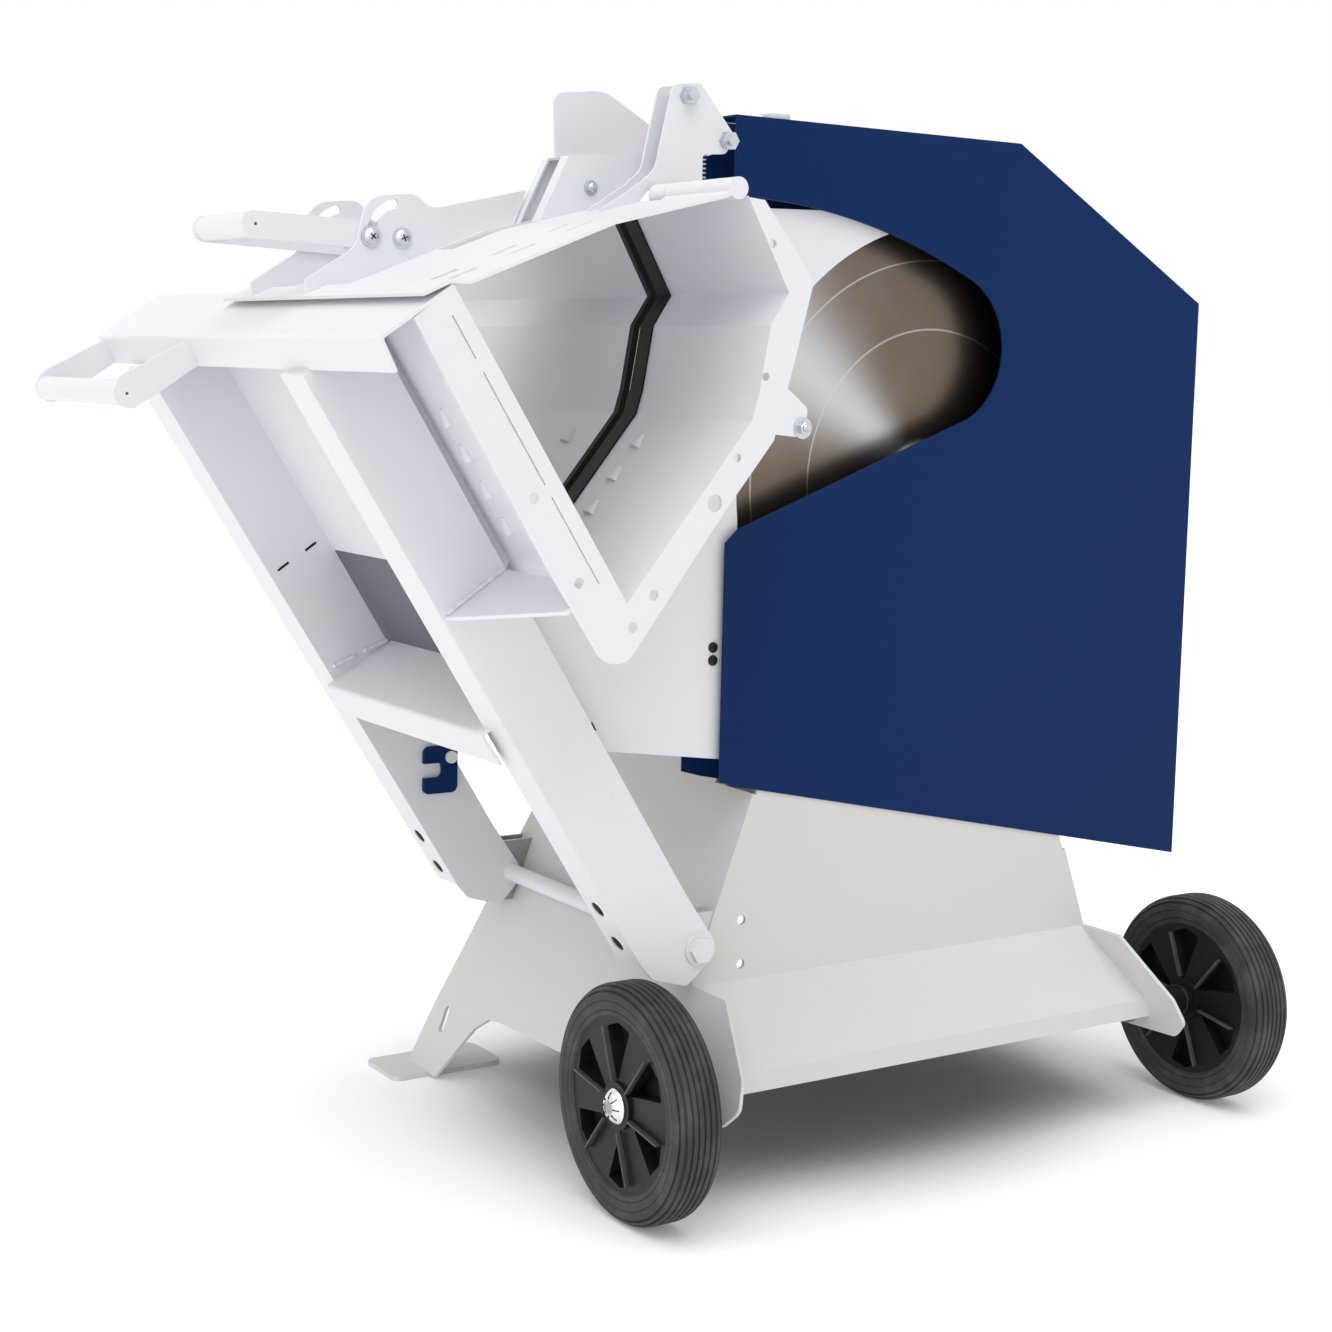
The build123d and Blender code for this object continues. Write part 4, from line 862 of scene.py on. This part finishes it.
class FIREWOODSAW_OT_drive(Operator):
    """Ribs of the motor and belt cover, tips of the blade, rims of the buttons and pins of the inlet"""

    bl_idname = "firewoodsaw.drive"
    bl_label = "Drive detail"

    def execute(self, context):
        self.motor_ribs()
        self.blade_tips()
        self.cover_ribs()
        self.switch()
        return {"FINISHED"}

    def motor_ribs(self):
        """Cooling ribs around the motor's barrel."""
        low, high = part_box("motor")
        hub = middle("motor_pulley")
        radius = hub.z - low.z
        length = high.y - low.y - 0.030
        bm = bmesh.new()
        axis = Matrix.Translation((hub.x, (low.y + high.y) / 2, hub.z))
        for i in range(MOTOR_RIBS):
            turn = math.tau * i / MOTOR_RIBS
            if math.cos(turn) > 0.75 or abs(math.sin(turn) - 1) < 0.25:
                continue
            spoke = axis @ Matrix.Rotation(-turn, 4, "Y")
            brick(bm, spoke, (0.010, length, 0.0022), (radius + 0.001, 0, 0))
        soften(bm, 0.0005, segments=1)
        piece(bm, "motor_ribs", ["motor_grey"], "base")

    def blade_tips(self):
        """Carbide tips on the teeth."""
        low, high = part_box("blade")
        radius = (high.x - low.x) / 2
        bm = bmesh.new()
        for i in range(BLADE_TEETH):
            spoke = Matrix.Translation(BLADE) @ Matrix.Rotation(-math.tau * i / BLADE_TEETH, 4, "Y")
            brick(bm, spoke, (0.0075, 0.0042, 0.0024), (radius - 0.0042, 0, -0.0013))
        soften(bm, 0.0003, segments=1)
        piece(bm, "blade_tips", ["carbide"], "saw")

    def cover_ribs(self):
        """Raised ribs across the back of the belt cover."""
        low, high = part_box("belt_cover")
        centre = (low + high) / 2
        bm = bmesh.new()
        for i in range(COVER_RIBS):
            spot = Matrix.Translation((centre.x, high.y, low.z + 0.070 + 0.032 * i))
            brick(bm, spot, ((high.x - low.x) * 0.62, 0.004, 0.008))
        soften(bm, 0.0012)
        piece(bm, "cover_ribs", ["black_plastic"], "base")

    def switch(self):
        """Rims around the two buttons, and the pins inside the plug inlet."""
        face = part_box("switch_box")[1].y
        bm = bmesh.new()
        for node in ("start_button", "stop_button"):
            spot = middle(node)
            spot.y = face
            radius = (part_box(node)[1].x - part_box(node)[0].x) / 2
            profile = [
                (radius * 1.12, -0.0005),
                (radius * 1.12, 0.0016),
                (radius * 1.2, 0.0024),
                (radius * 1.4, 0.0024),
                (radius * 1.5, 0.0012),
                (radius * 1.5, -0.0005),
                (radius * 1.12, -0.0005),
            ]
            lathe(bm, profile, turned(spot, ALONG), steps=40)
        piece(bm, "button_rims", ["galvanised"], "base")
        low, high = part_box("power_inlet")
        socket = middle("power_inlet")
        bm = bmesh.new()
        for i in range(5):
            turn = math.tau * i / 5
            pin = Vector((low.x + 0.010, socket.y + 0.012 * math.cos(turn), socket.z + 0.012 * math.sin(turn)))
            drum(bm, turned(pin, RIGHT), 0.0022, 0.0, 0.022, 16)
            drum(bm, turned(pin, RIGHT), 0.0022, 0.022, 0.0235, 16, end_radius=0.001)
        piece(bm, "inlet_pins", ["zinc"], "base")


class FIREWOODSAW_OT_stage(Operator):
    """Floor, light and camera"""

    bl_idname = "firewoodsaw.stage"
    bl_label = "Studio"

    def execute(self, context):
        studio = context.scene.saw_studio
        scene = context.scene
        scene.view_settings.view_transform = "Standard"
        self.floor(studio)
        self.light(scene, studio)
        self.camera(scene, studio)
        return {"FINISHED"}

    def floor(self, studio):
        """Pale floor that runs to the horizon, with a painted shadow under the base and a painted glow away
        from it.
        """
        bm = bmesh.new()
        bmesh.ops.create_grid(bm, x_segments=1, y_segments=1, size=60)
        mesh = bpy.data.meshes.new("studio_floor")
        bm.to_mesh(mesh)
        bm.free()
        ground = bpy.data.objects.new("studio_floor", mesh)
        bpy.context.scene.collection.objects.link(ground)
        material = bpy.data.materials.new("studio_floor")
        material.use_nodes = True
        tree = material.node_tree
        shader = tree.nodes["Principled BSDF"]
        shader.inputs["Roughness"].default_value = 0.9
        shader.inputs["Specular IOR Level"].default_value = 0.05
        place = put(tree, "TexCoord").outputs["Object"]
        # Painted shadow: a soft purple-grey patch darkens the floor's colour under the base
        centre = at(-46.5, 150.0, 0.0)
        shrink = put(tree, "VectorMath", {0: place, 1: centre}, operation="SUBTRACT").outputs[0]
        shaped = put(tree, "VectorMath", {0: shrink, 1: (2.6, 3.2, 0.0)}, operation="MULTIPLY").outputs[0]
        reach = put(tree, "VectorMath", {0: shaped}, operation="LENGTH").outputs["Value"]
        painted_shadow_fade = {0: reach, 1: 1.25, 2: 0.55, 3: 0.0, 4: studio.shade}
        under = put(tree, "MapRange", painted_shadow_fade, interpolation_type="SMOOTHSTEP").outputs[0]
        painted_shadow_tones = {0: under, 6: opaque(studio.floor), 7: (0.20, 0.165, 0.20, 1.0)}
        mixed = put(tree, "Mix", painted_shadow_tones, data_type="RGBA").outputs[2]
        tree.links.new(mixed, shader.inputs["Base Color"])
        # Painted light: the floor glows by itself away from the base
        shader.inputs["Emission Color"].default_value = (1.0, 1.0, 1.0, 1.0)
        glow = put(tree, "MapRange", {0: reach, 1: 0.9, 2: 1.6, 3: 0.0, 4: studio.glow}).outputs[0]
        tree.links.new(glow, shader.inputs["Emission Strength"])
        mesh.materials.append(material)

    def light(self, scene, studio):
        """Even light from all around, a broad key from above and a softer one from the operator's side."""
        world = bpy.data.worlds.new("studio")
        scene.world = world
        world.use_nodes = True
        tree = world.node_tree
        path = put(tree, "LightPath").outputs
        seen = path["Is Camera Ray"]
        for ray in ("Is Glossy Ray", "Is Transmission Ray"):
            seen = put(tree, "Math", {0: seen, 1: path[ray]}, operation="MAXIMUM").outputs[0]
        strength = put(tree, "MapRange", {0: seen, 1: 0.0, 2: 1.0, 3: studio.sky, 4: 1.0}).outputs[0]
        back = tree.nodes["Background"]
        back.inputs["Color"].default_value = (1.0, 1.0, 1.0, 1.0)
        tree.links.new(strength, back.inputs["Strength"])
        self.lamp(scene, "key", studio.sun, 55, Vector((0.2, 0.33, -0.92)))
        self.lamp(scene, "side", studio.side, 100, Vector((0.84, 0.36, -0.40)))

    def lamp(self, scene, name, energy, spread_degrees, aim):
        """Broad distant lamp that shines along an aim."""
        lamp = bpy.data.lights.new(name, "SUN")
        lamp.energy = energy
        lamp.angle = math.radians(spread_degrees)
        made = bpy.data.objects.new(name, lamp)
        made.rotation_euler = aim.to_track_quat("-Z", "Y").to_euler()
        scene.collection.objects.link(made)

    def camera(self, scene, studio):
        """Camera where the photographer stood."""
        yaw, pitch = studio.yaw, studio.pitch
        forward = Vector((-math.sin(yaw) * math.cos(pitch), math.cos(yaw) * math.cos(pitch), -math.sin(pitch)))
        right = Vector((math.cos(yaw), math.sin(yaw), 0))
        down = forward.cross(right)
        image_right = math.cos(studio.roll) * right + math.sin(studio.roll) * down
        image_down = -math.sin(studio.roll) * right + math.cos(studio.roll) * down
        turn = Matrix((image_right, -image_down, -forward)).transposed().to_4x4()
        lens = bpy.data.cameras.new("photograph")
        lens.lens = studio.lens
        lens.sensor_width = 36
        lens.shift_x = (IMAGE_SIDE / 2 - studio.centre_x) / IMAGE_SIDE
        lens.shift_y = (studio.centre_y - IMAGE_SIDE / 2) / IMAGE_SIDE
        eye = bpy.data.objects.new("photograph", lens)
        spot = Vector(studio.camera) + Vector((BLADE.x, BLADE.y, 0))
        eye.matrix_world = Matrix.Translation(spot) @ turn
        scene.collection.objects.link(eye)
        scene.camera = eye


class FIREWOODSAW_PT_panel(Panel):
    """Sizes, colours and steps of the firewood saw"""

    bl_label = "Firewood saw"
    bl_space_type = "VIEW_3D"
    bl_region_type = "UI"
    bl_category = "Firewood saw"

    def draw(self, context):
        for group in (context.scene.saw_finish, context.scene.saw_sizes, context.scene.saw_studio):
            box = self.layout.box()
            for name in group.__annotations__:
                box.prop(group, name)
        for step in STEPS:
            self.layout.operator(step.bl_idname)


STEPS = (
    FIREWOODSAW_OT_finishes,
    FIREWOODSAW_OT_wheels,
    FIREWOODSAW_OT_fasteners,
    FIREWOODSAW_OT_sheetwork,
    FIREWOODSAW_OT_drive,
    FIREWOODSAW_OT_stage,
)
SETTINGS = {"saw_finish": SawFinish, "saw_sizes": SawSizes, "saw_studio": SawStudio}


def register():
    for kind in (*SETTINGS.values(), *STEPS, FIREWOODSAW_PT_panel):
        bpy.utils.register_class(kind)
    for name, kind in SETTINGS.items():
        setattr(bpy.types.Scene, name, PointerProperty(type=kind))


def unregister():
    for name in SETTINGS:
        delattr(bpy.types.Scene, name)
    for kind in (FIREWOODSAW_PT_panel, *reversed(STEPS), *SETTINGS.values()):
        bpy.utils.unregister_class(kind)


def main():
    """Dress the saw, step by step."""
    register()
    for step in STEPS:
        family, action = step.bl_idname.split(".")
        getattr(getattr(bpy.ops, family), action)()


if __name__ == "__main__":
    main()
